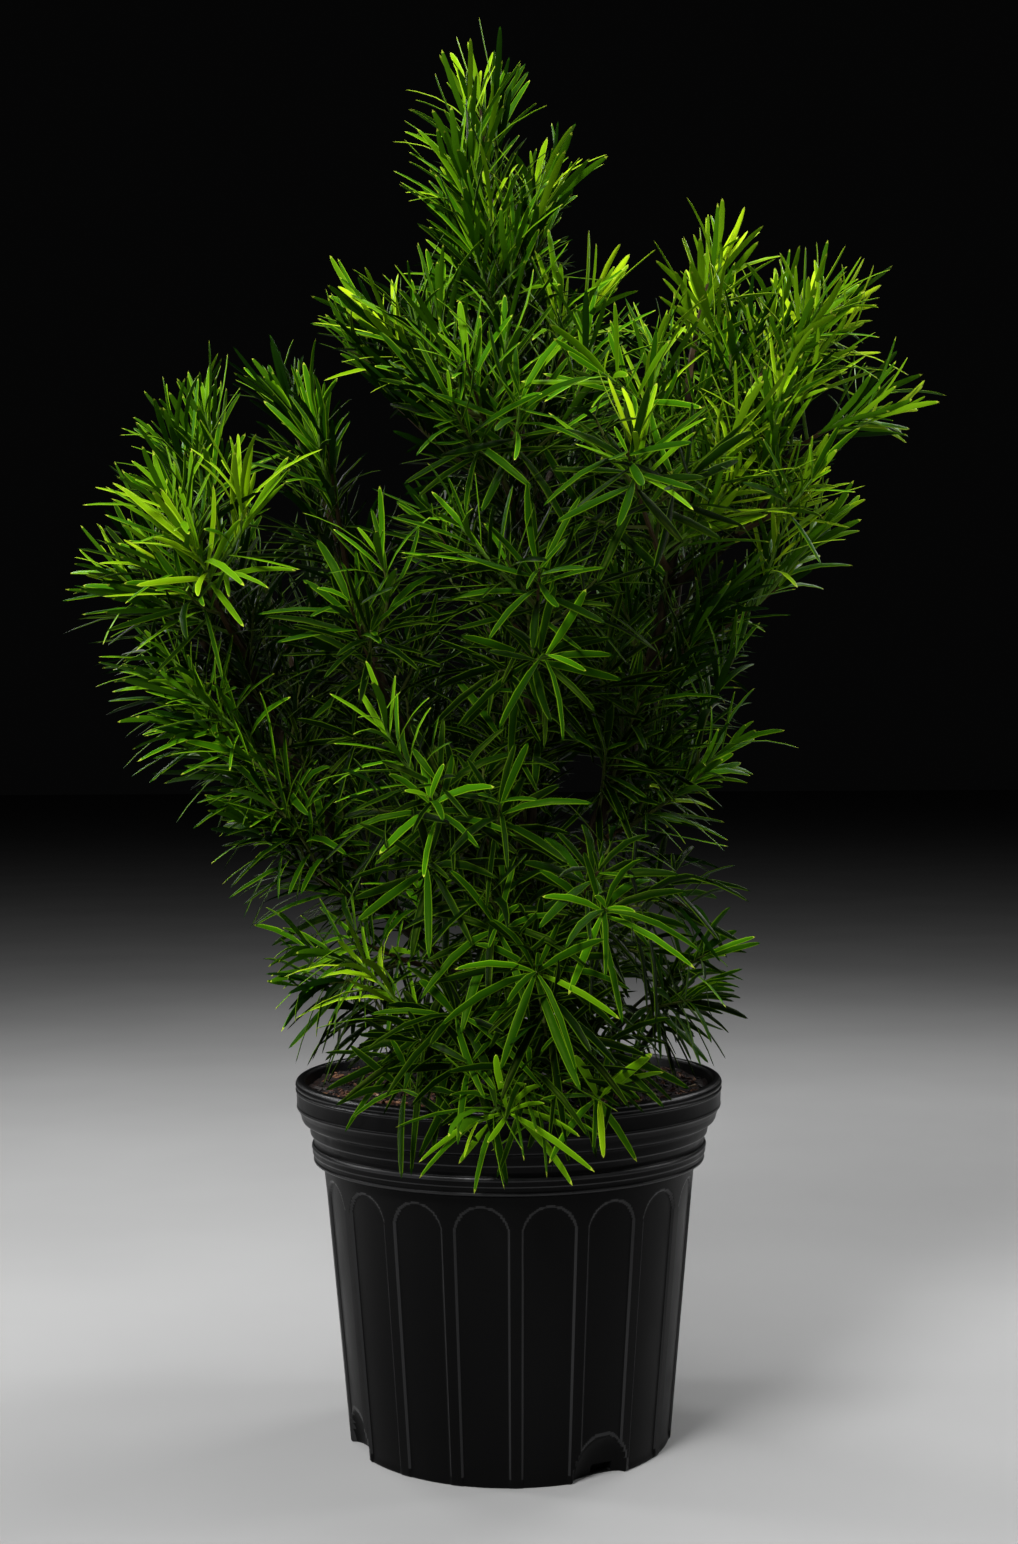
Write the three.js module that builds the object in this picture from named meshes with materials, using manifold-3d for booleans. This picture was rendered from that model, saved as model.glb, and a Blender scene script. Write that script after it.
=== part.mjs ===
// A podocarpus shrub in a ribbed nursery pot.
// Millimetres, +Z up. The origin is the centre of the pot's flat underside, and -Y is the front.
import * as THREE from 'three';
import { mergeVertices } from 'three/addons/utils/BufferGeometryUtils.js';
import Module from 'manifold-3d';

// Driving dimensions
const CLEARANCE = 0.3; // left between two pieces that touch
const RIM_RADIUS = 140;
const RIM_HEIGHT = 235.3;
const WALL = 3.2;
const BODY_TOP_RADIUS = 121.7;
const BODY_TOP_HEIGHT = 180;
const BASE_RADIUS = 105.4;
const FLOOR_THICKNESS = 4;
const POT_FACETS = 36;
const PANEL_COUNT = 18;
const FIRST_RIB_ANGLE = THREE.MathUtils.degToRad(1.9);
const PANEL_SHARE = 0.83; // of the pitch; the rest is the rib
const PANEL_DEPTH = 1.4;
const PANEL_ARCH_TOP = 174.5;
const DRAIN_PANELS = [1, 5, 10, 14]; // counted from the panel just right of the front rib
const DRAIN_WIDTH = 40;
const DRAIN_HEIGHT = 27;
const DRAIN_DEPTH = 9;
const DRAIN_SLOT = { width: 15, height: 4.5, sill: 2, aside: 5 }; // a little right of the scoop's middle
const CUT_DEPTH = 50; // of a panel's cutting prism, well past the wall
const SOIL_TOP = 228;

const TRUNK_FOOT_RADIUS = 11;
const TRUNK_RADIUS = 7.4;
const TRUNK_TIP_RADIUS = 2.6;
const FLARE_HEIGHT = 26;
const FLARE_FADE = 0.45; // share of that height over which the flare falls to a third
const TRUNK_CUT = 400; // side of the block that cuts the trunk level with the soil
const TRUNK_SIDES = 8;
const BOUGH_SIDES = 6;
const RING_SPACING = 44;

const STEM_RADIUS = 2.7;
const TWIG_RADIUS = 1.4;
const TWIG_TIP_RADIUS = 1.1;
const STEM_RINGS = 2;
const TWIGS_PER_STEM = 2;
const TWIG_SHARES = { first: 0.45, last: 0.75 }; // places along the stem
const TWIG_LENGTH = 44;
const TWIG_ANGLE = THREE.MathUtils.degToRad(40);
const TWIG_LIFT = 0.25; // how far a twig's direction is turned upward
const TWIG_ROOM = 8; // kept clear round a twig's tip
const TWIG_TRIES = 8;
const LEAF_LENGTH = 68;
const TIP_LEAF_LENGTH = 54; // of the youngest leaves, round the bud
const BUD_SETBACK = 24; // the stem ends this far short of its mass's bud point
const LEAF_WIDTH = 13;
const LEAF_THICKNESS = 1.5;
const LEAF_WIDEST = 0.4; // share of the length where the leaf is widest
const LEAF_JOINT = 8; // a leaf touches its own mass only this near to its root
const STEM_LEAF_PITCH = 18;
const STEM_LEAVES = { least: 4, most: 7 };
const LEAVES_ON_TWIG = 4;
const BARE_SHARE = 0.3; // of a stem or twig, below its first leaf
const LOW_LEAF_ANGLE = THREE.MathUtils.degToRad(52);
const TIP_LEAF_ANGLE = THREE.MathUtils.degToRad(17);
const LEAF_LIFT = 0.12;
const LEAF_TRIES = 5;
const LEAF_DROOP = { always: 0.05, lowest: 0.3 }; // shares of the length; low leaves hang most
const DROOP_HEIGHTS = { full: 260, none: 620 };
const GOLDEN_ANGLE = Math.PI * (3 - Math.sqrt(5));
const UP = new THREE.Vector3(0, 0, 1);

// The trunk leans slightly right, then back left; each row is its axis at a height.
const TRUNK_AXIS = [
  [-1, 0, 214],
  [1, 0, 250],
  [8, 0, 317],
  [15, 0, 443],
  [16, 0, 560],
  [6, 0, 690],
  [-8, 0, 802],
];

// Each bough leaves its parent at a height and bows away from the straight line to its tip.
const BOUGHS = {
  bough_left: { on: 'trunk', at: 268, tip: [-178, 2, 528], bow: [-18, 0, -14], radii: [5.6, 3.0] },
  bough_right: { on: 'trunk', at: 300, tip: [122, 2, 694], bow: [25, 0, -12], radii: [6.0, 2.8] },
  bough_left_inner: { on: 'trunk', at: 335, tip: [-112, 6, 590], bow: [-14, 6, -6], radii: [4.2, 2.4] },
  bough_front: { on: 'trunk', at: 262, tip: [12, -104, 322], bow: [0, -6, -6], radii: [4.2, 2.6] },
  bough_rear: { on: 'trunk', at: 282, tip: [-8, 100, 522], bow: [6, 24, -14], radii: [4.8, 2.6] },
  bough_left_outer: { on: 'bough_left', at: 474, tip: [-208, 0, 538], bow: [-4, 0, -5], radii: [2.8, 2.3] },
  bough_left_rear: { on: 'bough_left', at: 345, tip: [-150, 94, 505], bow: [-8, 10, -10], radii: [3.6, 2.4] },
  bough_right_outer: { on: 'bough_right', at: 556, tip: [186, 4, 640], bow: [6, 0, -7], radii: [3.0, 2.3] },
  bough_right_high: { on: 'bough_right', at: 628, tip: [166, -8, 690], bow: [5, 0, -5], radii: [2.7, 2.2] },
  bough_right_rear: { on: 'bough_right', at: 420, tip: [124, 92, 582], bow: [8, 10, -10], radii: [3.6, 2.4] },
};

// Each foliage mass grows from a limb, at a height or at its tip, and its stem ends in a bud.
const MASSES = [
  { name: 'foliage_crown_top', on: 'trunk', at: 'tip', bud: [-17, 0, 890] },
  { name: 'foliage_crown_left', on: 'trunk', at: 752, bud: [-36, -18, 822] },
  { name: 'foliage_crown_right', on: 'trunk', at: 768, bud: [34, 10, 838] },
  { name: 'foliage_crown_rear', on: 'trunk', at: 725, bud: [11, 80, 815] },
  { name: 'foliage_upper_left', on: 'trunk', at: 655, bud: [-99, -25, 740] },
  { name: 'foliage_upper_left_low', on: 'trunk', at: 612, bud: [-105, 52, 718] },
  { name: 'foliage_upper_front', on: 'trunk', at: 588, bud: [-26, -122, 690] },
  { name: 'foliage_small_spire', on: 'trunk', at: 668, bud: [65, -35, 748] },
  { name: 'foliage_upper_rear_left', on: 'trunk', at: 640, bud: [-62, 128, 748] },
  { name: 'foliage_upper_rear_right', on: 'trunk', at: 604, bud: [66, 130, 740] },
  { name: 'foliage_right_spire', on: 'bough_right', at: 'tip', bud: [141, 0, 781] },
  { name: 'foliage_right_high', on: 'bough_right_high', at: 'tip', bud: [229, -15, 743] },
  { name: 'foliage_right_high_rear', on: 'bough_right_high', at: 660, bud: [193, 58, 742] },
  { name: 'foliage_far_right', on: 'bough_right_outer', at: 'tip', bud: [250, 5, 674] },
  { name: 'foliage_right_mid', on: 'bough_right_outer', at: 592, bud: [200, -32, 622] },
  { name: 'foliage_right_low', on: 'bough_right', at: 505, bud: [190, 15, 562] },
  { name: 'foliage_right_lower', on: 'bough_right', at: 385, bud: [131, -15, 435] },
  { name: 'foliage_star', on: 'bough_right', at: 566, bud: [69, -165, 623] },
  { name: 'foliage_right_rear', on: 'bough_right_rear', at: 'tip', bud: [146, 135, 685] },
  { name: 'foliage_right_rear_low', on: 'bough_right_rear', at: 465, bud: [62, 122, 535] },
  { name: 'foliage_left_top', on: 'bough_left', at: 'tip', bud: [-211, 10, 682] },
  { name: 'foliage_left_spire', on: 'bough_left_inner', at: 'tip', bud: [-156, 5, 696] },
  { name: 'foliage_left_small', on: 'bough_left_inner', at: 556, bud: [-112, -70, 648] },
  { name: 'foliage_left_face', on: 'bough_left', at: 512, bud: [-210, -85, 612] },
  { name: 'foliage_far_left', on: 'bough_left_outer', at: 'tip', bud: [-248, 0, 578] },
  { name: 'foliage_left_mid', on: 'bough_left', at: 428, bud: [-236, -18, 506] },
  { name: 'foliage_left_lower', on: 'bough_left', at: 378, bud: [-208, 12, 454] },
  { name: 'foliage_left_under', on: 'bough_left', at: 336, bud: [-176, -22, 408] },
  { name: 'foliage_left_rear', on: 'bough_left_rear', at: 'tip', bud: [-190, 125, 602] },
  { name: 'foliage_left_rear_low', on: 'bough_left_rear', at: 420, bud: [-160, 140, 472] },
  { name: 'foliage_centre_left', on: 'bough_left_inner', at: 460, bud: [-97, -115, 544] },
  { name: 'foliage_centre_high', on: 'trunk', at: 490, bud: [20, -150, 558] },
  { name: 'foliage_centre_mid', on: 'trunk', at: 372, bud: [-44, -150, 433] },
  { name: 'foliage_centre_low', on: 'trunk', at: 318, bud: [55, -165, 380] },
  { name: 'foliage_front_low', on: 'bough_front', at: 'tip', bud: [17, -185, 323] },
  { name: 'foliage_front_foot', on: 'bough_front', at: 292, bud: [30, -172, 252] },
  { name: 'foliage_front_left_foot', on: 'trunk', at: 255, bud: [-72, -125, 258] },
  { name: 'foliage_left_foot', on: 'bough_left', at: 305, bud: [-106, -50, 334] },
  { name: 'foliage_left_skirt', on: 'trunk', at: 252, bud: [-122, 32, 284] },
  { name: 'foliage_right_foot', on: 'bough_right', at: 330, bud: [127, -35, 349] },
  { name: 'foliage_right_skirt', on: 'trunk', at: 256, bud: [129, 30, 291] },
  { name: 'foliage_rear_high', on: 'bough_rear', at: 'tip', bud: [-42, 138, 622] },
  { name: 'foliage_rear_mid', on: 'bough_rear', at: 430, bud: [-72, 140, 492] },
  { name: 'foliage_rear_low', on: 'bough_rear', at: 330, bud: [-44, 150, 372] },
  { name: 'foliage_rear_right_low', on: 'bough_right_rear', at: 430, bud: [88, 150, 440] },
  { name: 'foliage_inner_left', on: 'trunk', at: 520, bud: [-52, -40, 600] },
];

const materials = {
  pot: new THREE.MeshStandardMaterial({ color: 0x17181a, roughness: 0.42, metalness: 0 }),
  soil: new THREE.MeshStandardMaterial({ color: 0x2b1b12, roughness: 0.95, metalness: 0 }),
  bark: new THREE.MeshStandardMaterial({ color: 0x4a3524, roughness: 0.85, metalness: 0 }),
  leaves: new THREE.MeshStandardMaterial({ color: 0x2f7d1c, roughness: 0.45, metalness: 0 }),
};

const wasm = await Module();
wasm.setup();

function vector([x, y, z]) {
  return new THREE.Vector3(x, y, z);
}

// Solids and meshes

function solidFromArrays(positions, triangles) {
  const kept = [];
  let sixVolumes = 0;
  const corner = (index) => new THREE.Vector3().fromArray(positions, 3 * index);
  for (let start = 0; start < triangles.length; start += 3) {
    const [a, b, c] = triangles.slice(start, start + 3);
    if (a !== b && b !== c && c !== a) {
      kept.push(a, b, c);
      sixVolumes += corner(a).dot(corner(b).cross(corner(c)));
    }
  }
  if (sixVolumes < 0) kept.reverse();
  return new wasm.Manifold(new wasm.Mesh({
    numProp: 3,
    vertProperties: Float32Array.from(positions),
    triVerts: Uint32Array.from(kept),
  }));
}

function solidFromGeometry(geometry) {
  geometry.deleteAttribute('normal');
  geometry.deleteAttribute('uv');
  const merged = mergeVertices(geometry, 1e-3);
  return solidFromArrays(Array.from(merged.attributes.position.array), Array.from(merged.index.array));
}

function addTogether(solids) {
  return solids.reduce((joined, solid) => joined.add(solid));
}

// The largest body, without the loose scraps a cut can leave.
function mainBody(solid) {
  return solid.decompose().reduce((best, body) => (body.volume() > best.volume() ? body : best));
}

function meshFromSolid(name, solid, material) {
  const { vertProperties, triVerts } = mainBody(solid).getMesh();
  const geometry = new THREE.BufferGeometry();
  geometry.setAttribute('position', new THREE.BufferAttribute(new Float32Array(vertProperties), 3));
  geometry.setIndex(new THREE.BufferAttribute(new Uint32Array(triVerts), 1));
  geometry.computeVertexNormals();
  const mesh = new THREE.Mesh(geometry, material);
  mesh.name = name;
  return mesh;
}

// Pot and soil

// Turns a profile of [radius, height] points about the pot's axis.
function turned(profile) {
  const points = profile.map(([radius, height]) => new THREE.Vector2(radius, height));
  const lathe = new THREE.LatheGeometry(points, POT_FACETS, FIRST_RIB_ANGLE, 2 * Math.PI);
  return solidFromGeometry(lathe.rotateX(Math.PI / 2));
}

// Turns a geometry made facing the front, at zero angle, round to an angle on the pot.
function facing(geometry, angle) {
  return solidFromGeometry(geometry.rotateZ(angle));
}

function bodyRadius(height) {
  return THREE.MathUtils.mapLinear(height, 0, BODY_TOP_HEIGHT, BASE_RADIUS, BODY_TOP_RADIUS);
}

const OUTER_PROFILE = [
  [BASE_RADIUS, 0],
  [BODY_TOP_RADIUS, BODY_TOP_HEIGHT],
  [127.6, 183.5],
  [129.3, 190],
  [129.1, 194.4],
  [128.2, 196.2],
  [129.9, 199.5],
  [130.9, 206.5],
  [136, 212],
  [139.3, 221],
  [138.8, 223],
  [RIM_RADIUS, 224],
  [RIM_RADIUS, 232.3],
  [RIM_RADIUS - 1.4, 234.6],
  [135.6, RIM_HEIGHT],
];
const INNER_PROFILE = [
  [133.8, 233.6],
  [127.4, 203],
  [BODY_TOP_RADIUS - WALL, BODY_TOP_HEIGHT],
  [bodyRadius(FLOOR_THICKNESS) - WALL, FLOOR_THICKNESS],
];

function archOutline(bottom, footHalfWidth, springHalfWidth, top) {
  const spring = top - springHalfWidth;
  const outline = new THREE.Shape();
  outline.moveTo(-footHalfWidth, bottom);
  outline.lineTo(-springHalfWidth, spring);
  outline.absarc(0, spring, springHalfWidth, Math.PI, 0, true);
  outline.lineTo(footHalfWidth, bottom);
  return outline;
}

function panelAngle(panel) {
  return FIRST_RIB_ANGLE + ((panel + 0.5) * 2 * Math.PI) / PANEL_COUNT;
}

function panelRecesses() {
  const halfAngle = (Math.PI / PANEL_COUNT) * PANEL_SHARE;
  const footHalfWidth = BASE_RADIUS * Math.sin(halfAngle);
  const springHalfWidth = bodyRadius(PANEL_ARCH_TOP) * Math.sin(halfAngle);
  const recesses = [];
  for (let panel = 0; panel < PANEL_COUNT; panel++) {
    const outline = archOutline(-1, footHalfWidth, springHalfWidth, PANEL_ARCH_TOP);
    const options = { depth: CUT_DEPTH, bevelEnabled: false, curveSegments: 2 };
    const prism = new THREE.ExtrudeGeometry(outline, options);
    prism.rotateX(Math.PI / 2).translate(0, 0.4 * CUT_DEPTH - BASE_RADIUS, 0);
    recesses.push(facing(prism, panelAngle(panel)));
  }
  const core = turned([
    [0, -2],
    [bodyRadius(-2) - PANEL_DEPTH, -2],
    [bodyRadius(BODY_TOP_HEIGHT) - PANEL_DEPTH, BODY_TOP_HEIGHT],
    [0, BODY_TOP_HEIGHT],
  ]);
  return addTogether(recesses).subtract(core);
}

// A drain scoop's rounded niche, grown by a wall's thickness for the shell round it.
function drainNiche(panel, wall) {
  const niche = new THREE.SphereGeometry(1, 8, 4);
  niche.rotateX(Math.PI / 2);
  niche.scale(DRAIN_WIDTH / 2 + wall, DRAIN_DEPTH + wall, DRAIN_HEIGHT + wall);
  niche.translate(0, -BASE_RADIUS, 0);
  return facing(niche, panelAngle(panel));
}

function drainSlot(panel) {
  const slot = new THREE.BoxGeometry(DRAIN_SLOT.width, 2 * (DRAIN_DEPTH + WALL), DRAIN_SLOT.height);
  slot.translate(DRAIN_SLOT.aside, -BASE_RADIUS + WALL + 1, DRAIN_SLOT.sill + DRAIN_SLOT.height / 2);
  return facing(slot, panelAngle(panel));
}

// The room that the soil leaves round a scoop's shell.
function drainPocket(panel) {
  const room = WALL + 2 * CLEARANCE;
  const [width, depth, height] = [DRAIN_WIDTH / 2 + room, DRAIN_DEPTH + room, DRAIN_HEIGHT + room];
  const pocket = new THREE.BoxGeometry(2 * width, 2 * depth, 2 * height);
  return facing(pocket.translate(0, -BASE_RADIUS, 0), panelAngle(panel));
}

const potEnvelope = turned([[0, 0], ...OUTER_PROFILE, [0, RIM_HEIGHT]]);
const CAVITY_TOP = RIM_HEIGHT + 5; // clear above the rim, so that the mouth is open
const potCavity = turned([
  [0, CAVITY_TOP],
  [134.3, CAVITY_TOP],
  ...INNER_PROFILE,
  [0, FLOOR_THICKNESS],
]);

function potMesh() {
  const shells = addTogether(DRAIN_PANELS.map((panel) => drainNiche(panel, WALL))).intersect(potEnvelope);
  const niches = addTogether(DRAIN_PANELS.map((panel) => drainNiche(panel, 0)));
  const slots = addTogether(DRAIN_PANELS.map(drainSlot));
  const pot = potEnvelope.subtract(potCavity).add(shells).subtract(panelRecesses())
    .subtract(niches).subtract(slots);
  return meshFromSolid('pot', pot, materials.pot);
}

function soilMesh() {
  const [lip, shoulder, bodyTop, floorEdge] = INNER_PROFILE;
  const wallRadius = THREE.MathUtils.mapLinear(SOIL_TOP, shoulder[1], lip[1], shoulder[0], lip[0]);
  const body = turned([
    [0, SOIL_TOP],
    [wallRadius - 2 * CLEARANCE, SOIL_TOP],
    [bodyTop[0] - CLEARANCE, bodyTop[1]],
    [floorEdge[0] - CLEARANCE, FLOOR_THICKNESS + CLEARANCE],
    [0, FLOOR_THICKNESS + CLEARANCE],
  ]);
  const pockets = addTogether(DRAIN_PANELS.map(drainPocket));
  return meshFromSolid('soil', body.subtract(pockets), materials.soil);
}

// Limbs

function tubeSolid({ curve, radiusAt, rings, sides }, extra = 0) {
  const frames = curve.computeFrenetFrames(rings);
  const positions = [];
  const triangles = [];
  for (let ring = 0; ring <= rings; ring++) {
    const share = ring / rings;
    const centre = curve.getPointAt(share);
    if (ring === 0) centre.addScaledVector(frames.tangents[0], -extra);
    if (ring === rings) centre.addScaledVector(frames.tangents[rings], extra);
    for (let side = 0; side < sides; side++) {
      const angle = (2 * Math.PI * side) / sides;
      const radius = radiusAt(share) + extra / Math.cos(Math.PI / sides);
      const point = centre.clone()
        .addScaledVector(frames.normals[ring], radius * Math.cos(angle))
        .addScaledVector(frames.binormals[ring], radius * Math.sin(angle));
      positions.push(point.x, point.y, point.z);
      if (ring < rings) {
        const here = ring * sides + side;
        const next = ring * sides + ((side + 1) % sides);
        triangles.push(here, next, next + sides, here, next + sides, here + sides);
      }
    }
  }
  for (let side = 1; side < sides - 1; side++) {
    const last = rings * sides;
    triangles.push(0, side + 1, side, last, last + side, last + side + 1);
  }
  return solidFromArrays(positions, triangles);
}

// The share along a curve whose height is closest to the one asked for.
function shareAtHeight(curve, height) {
  const steps = 200;
  let best = 0;
  for (let step = 0; step <= steps; step++) {
    const miss = Math.abs(curve.getPointAt(step / steps).z - height);
    if (miss < Math.abs(curve.getPointAt(best).z - height)) best = step / steps;
  }
  return best;
}

function bowedCurve(root, tip, bow) {
  const control = root.clone().add(tip).multiplyScalar(0.5).addScaledVector(bow, 2);
  return new THREE.QuadraticBezierCurve3(root, control, tip);
}

function trunkLimb() {
  const curve = new THREE.CatmullRomCurve3(TRUNK_AXIS.map(vector));
  const footShare = shareAtHeight(curve, SOIL_TOP);
  const flareShare = FLARE_HEIGHT / curve.getLength();
  const radiusAt = (share) => {
    const above = Math.max(0, share - footShare);
    const flare = (TRUNK_FOOT_RADIUS - TRUNK_RADIUS) * Math.exp(-above / (FLARE_FADE * flareShare));
    return THREE.MathUtils.lerp(TRUNK_RADIUS, TRUNK_TIP_RADIUS, share) + flare;
  };
  return { name: 'trunk', curve, radiusAt, rings: 12, sides: TRUNK_SIDES };
}

function boughLimb(name, { on, at, tip, bow, radii }, limbs) {
  const parent = limbs.get(on);
  const root = parent.curve.getPointAt(shareAtHeight(parent.curve, at));
  const curve = bowedCurve(root, vector(tip), vector(bow));
  const rings = Math.max(2, Math.round(curve.getLength() / RING_SPACING));
  const radiusAt = (share) => THREE.MathUtils.lerp(radii[0], radii[1], share);
  return { name, parent, curve, radiusAt, rings, sides: BOUGH_SIDES };
}

function allLimbs() {
  const limbs = new Map([['trunk', trunkLimb()]]);
  for (const [name, row] of Object.entries(BOUGHS)) limbs.set(name, boughLimb(name, row, limbs));
  return limbs;
}

function limbMesh(limb) {
  let solid = tubeSolid(limb);
  if (limb.parent) {
    solid = solid.subtract(tubeSolid(limb.parent, CLEARANCE));
  } else {
    const below = new THREE.BoxGeometry(TRUNK_CUT, TRUNK_CUT, TRUNK_CUT);
    below.translate(0, 0, SOIL_TOP + CLEARANCE - TRUNK_CUT / 2);
    solid = solid.subtract(solidFromGeometry(below));
  }
  return meshFromSolid(limb.name, solid, materials.bark);
}

// Room for foliage

function polyline(curve, count) {
  return Array.from({ length: count + 1 }, (_, step) => curve.getPointAt(step / count));
}

function distanceToPolyline(point, points) {
  const nearest = new THREE.Vector3();
  const segment = new THREE.Line3();
  let least = Infinity;
  for (let step = 1; step < points.length; step++) {
    segment.set(points[step - 1], points[step]).closestPointToPoint(point, true, nearest);
    least = Math.min(least, nearest.distanceTo(point));
  }
  return least;
}

function clearOfLimbs(point, room, limbs) {
  for (const limb of limbs.values()) {
    if (distanceToPolyline(point, limb.points) < limb.widest + room) return false;
  }
  return true;
}

function clearOfPot(point, room) {
  const radius = Math.hypot(point.x, point.y);
  return point.z > RIM_HEIGHT + room + 1 || radius > RIM_RADIUS + room + 1;
}

// A mass keeps the space that is nearer to its own stem than to any other.
function inOwnSpace(point, room, mass, masses) {
  const own = distanceToPolyline(point, mass.points);
  return masses.every((other) => other === mass || distanceToPolyline(point, other.points) > own + 2 * room);
}

function fits(point, room, mass, plant) {
  return clearOfPot(point, room) && clearOfLimbs(point, room, plant.limbs)
    && inOwnSpace(point, room, mass, plant.masses);
}

// Foliage

function seededRandom(seed) {
  let state = seed;
  return () => {
    state = (state + 0x6d2b79f5) | 0;
    let mixed = Math.imul(state ^ (state >>> 15), 1 | state);
    mixed = (mixed + Math.imul(mixed ^ (mixed >>> 7), 61 | mixed)) ^ mixed;
    return ((mixed ^ (mixed >>> 14)) >>> 0) / 4294967296;
  };
}

function stemOfMass({ name, on, at, bud }, index, limbs) {
  const limb = limbs.get(on);
  const atTip = at === 'tip';
  const share = atTip ? 1 : shareAtHeight(limb.curve, at);
  const root = limb.curve.getPointAt(share);
  const end = vector(bud);
  end.add(root.clone().sub(end).setLength(BUD_SETBACK));
  const length = root.distanceTo(end);
  const middle = root.clone().lerp(end, 0.5);
  const control = atTip
    ? root.clone().addScaledVector(limb.curve.getTangentAt(1), length * 0.5).lerp(middle, 0.4)
    : middle.addScaledVector(UP, end.z - root.z < 0.2 * length ? 0.22 * length : -0.1 * length);
  const curve = new THREE.QuadraticBezierCurve3(root, control, end);
  const foot = atTip ? limb.radiusAt(1) * 1.25 : STEM_RADIUS;
  return { name, seed: index + 1, curve, foot, points: polyline(curve, 6), length };
}

// A direction at an angle to an axis, turned about it.
function branchDirection(axis, turn, angle) {
  const side = new THREE.Vector3(1, 0, 0);
  if (Math.abs(axis.x) > 0.8) side.set(0, 1, 0);
  side.cross(axis).normalize().applyAxisAngle(axis, turn);
  return axis.clone().multiplyScalar(Math.cos(angle)).addScaledVector(side, Math.sin(angle));
}

function twigsOfMass(mass, plant, random) {
  const twigs = [];
  const firstTurn = random() * 2 * Math.PI;
  for (let count = 0; count < TWIGS_PER_STEM; count++) {
    const share = THREE.MathUtils.lerp(TWIG_SHARES.first, TWIG_SHARES.last, count / (TWIGS_PER_STEM - 1));
    const root = mass.curve.getPointAt(share);
    const axis = mass.curve.getTangentAt(share);
    const turn = firstTurn + count * GOLDEN_ANGLE;
    for (let attempt = 0; attempt < TWIG_TRIES; attempt++) {
      const direction = branchDirection(axis, turn + attempt * GOLDEN_ANGLE, TWIG_ANGLE);
      direction.addScaledVector(UP, TWIG_LIFT).normalize();
      const length = TWIG_LENGTH * (0.8 + 0.3 * random()) * (1 - 0.06 * attempt);
      const end = root.clone().addScaledVector(direction, length);
      const middle = root.clone().lerp(end, 0.5);
      if (fits(end, TWIG_ROOM, mass, plant) && fits(middle, TWIG_ROOM / 2, mass, plant)) {
        twigs.push(new THREE.LineCurve3(root, end));
        break;
      }
    }
  }
  return twigs;
}

// A leaf is a thin blade with a keel below: its root, its widest place and its tip.
function leafShape(root, direction, axis, length, droop) {
  const upper = axis.clone().addScaledVector(direction, -axis.dot(direction)).normalize();
  const across = direction.clone().cross(upper).normalize();
  const widest = root.clone().addScaledVector(direction, LEAF_WIDEST * length)
    .addScaledVector(UP, -0.15 * droop * length);
  const tip = root.clone().addScaledVector(direction, length).addScaledVector(UP, -droop * length);
  return { root, widest, tip, upper, across };
}

function leafFits({ root, widest, tip }, mass, plant) {
  const half = LEAF_WIDTH / 2;
  const checks = [
    [root.clone().lerp(widest, 0.3), 0.35 * half],
    [root.clone().lerp(widest, 0.65), 0.7 * half],
    [widest, half],
    [widest.clone().lerp(tip, 0.3), 0.75 * half],
    [widest.clone().lerp(tip, 0.65), 0.4 * half],
    [tip, 1],
  ];
  return checks.every(([point, room]) => fits(point, room, mass, plant));
}

function leafSolid({ root, widest, tip, upper, across }) {
  const corners = [
    root,
    widest.clone().addScaledVector(across, -LEAF_WIDTH / 2),
    widest.clone().addScaledVector(across, LEAF_WIDTH / 2),
    widest.clone().addScaledVector(upper, -LEAF_THICKNESS),
    tip,
  ];
  const positions = corners.flatMap((corner) => corner.toArray());
  const faces = [0, 1, 2, 0, 2, 3, 0, 3, 1, 4, 2, 1, 4, 3, 2, 4, 1, 3];
  return solidFromArrays(positions, faces);
}

// Whether a leaf meets the rest of its mass at its root only.
function meetsAtRoot(leaf, root, joined) {
  const { min, max } = leaf.intersect(joined).boundingBox();
  return vector(min).distanceTo(root) < LEAF_JOINT && vector(max).distanceTo(root) < LEAF_JOINT;
}

function addLeaves(joined, curve, count, mass, plant, random) {
  const low = 1 - THREE.MathUtils.smoothstep(curve.getPointAt(1).z, DROOP_HEIGHTS.full, DROOP_HEIGHTS.none);
  const firstTurn = random() * 2 * Math.PI;
  for (let step = 0; step < count; step++) {
    const ripe = step / (count - 1);
    const share = THREE.MathUtils.lerp(BARE_SHARE, 0.99, ripe);
    const axis = curve.getTangentAt(share);
    const root = curve.getPointAt(share);
    const angle = THREE.MathUtils.lerp(LOW_LEAF_ANGLE, TIP_LEAF_ANGLE, ripe);
    const fullLength = THREE.MathUtils.lerp(LEAF_LENGTH, TIP_LEAF_LENGTH, ripe * ripe);
    const length = fullLength * (0.88 + 0.2 * random());
    const droop = LEAF_DROOP.always + LEAF_DROOP.lowest * low * (1 - 0.5 * ripe);
    for (let attempt = 0; attempt < LEAF_TRIES; attempt++) {
      const turn = firstTurn + (step + 0.37 * attempt) * GOLDEN_ANGLE;
      const direction = branchDirection(axis, turn, angle).addScaledVector(UP, LEAF_LIFT).normalize();
      const shape = leafShape(root, direction, axis, length, droop);
      const leaf = leafSolid(shape);
      if (leafFits(shape, mass, plant) && meetsAtRoot(leaf, root, joined)) {
        joined = joined.add(leaf);
        break;
      }
    }
  }
  return joined;
}

function twigTube(curve, foot, rings) {
  const radiusAt = (share) => THREE.MathUtils.lerp(foot, TWIG_TIP_RADIUS, share);
  return tubeSolid({ curve, radiusAt, rings, sides: 3 });
}

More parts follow.
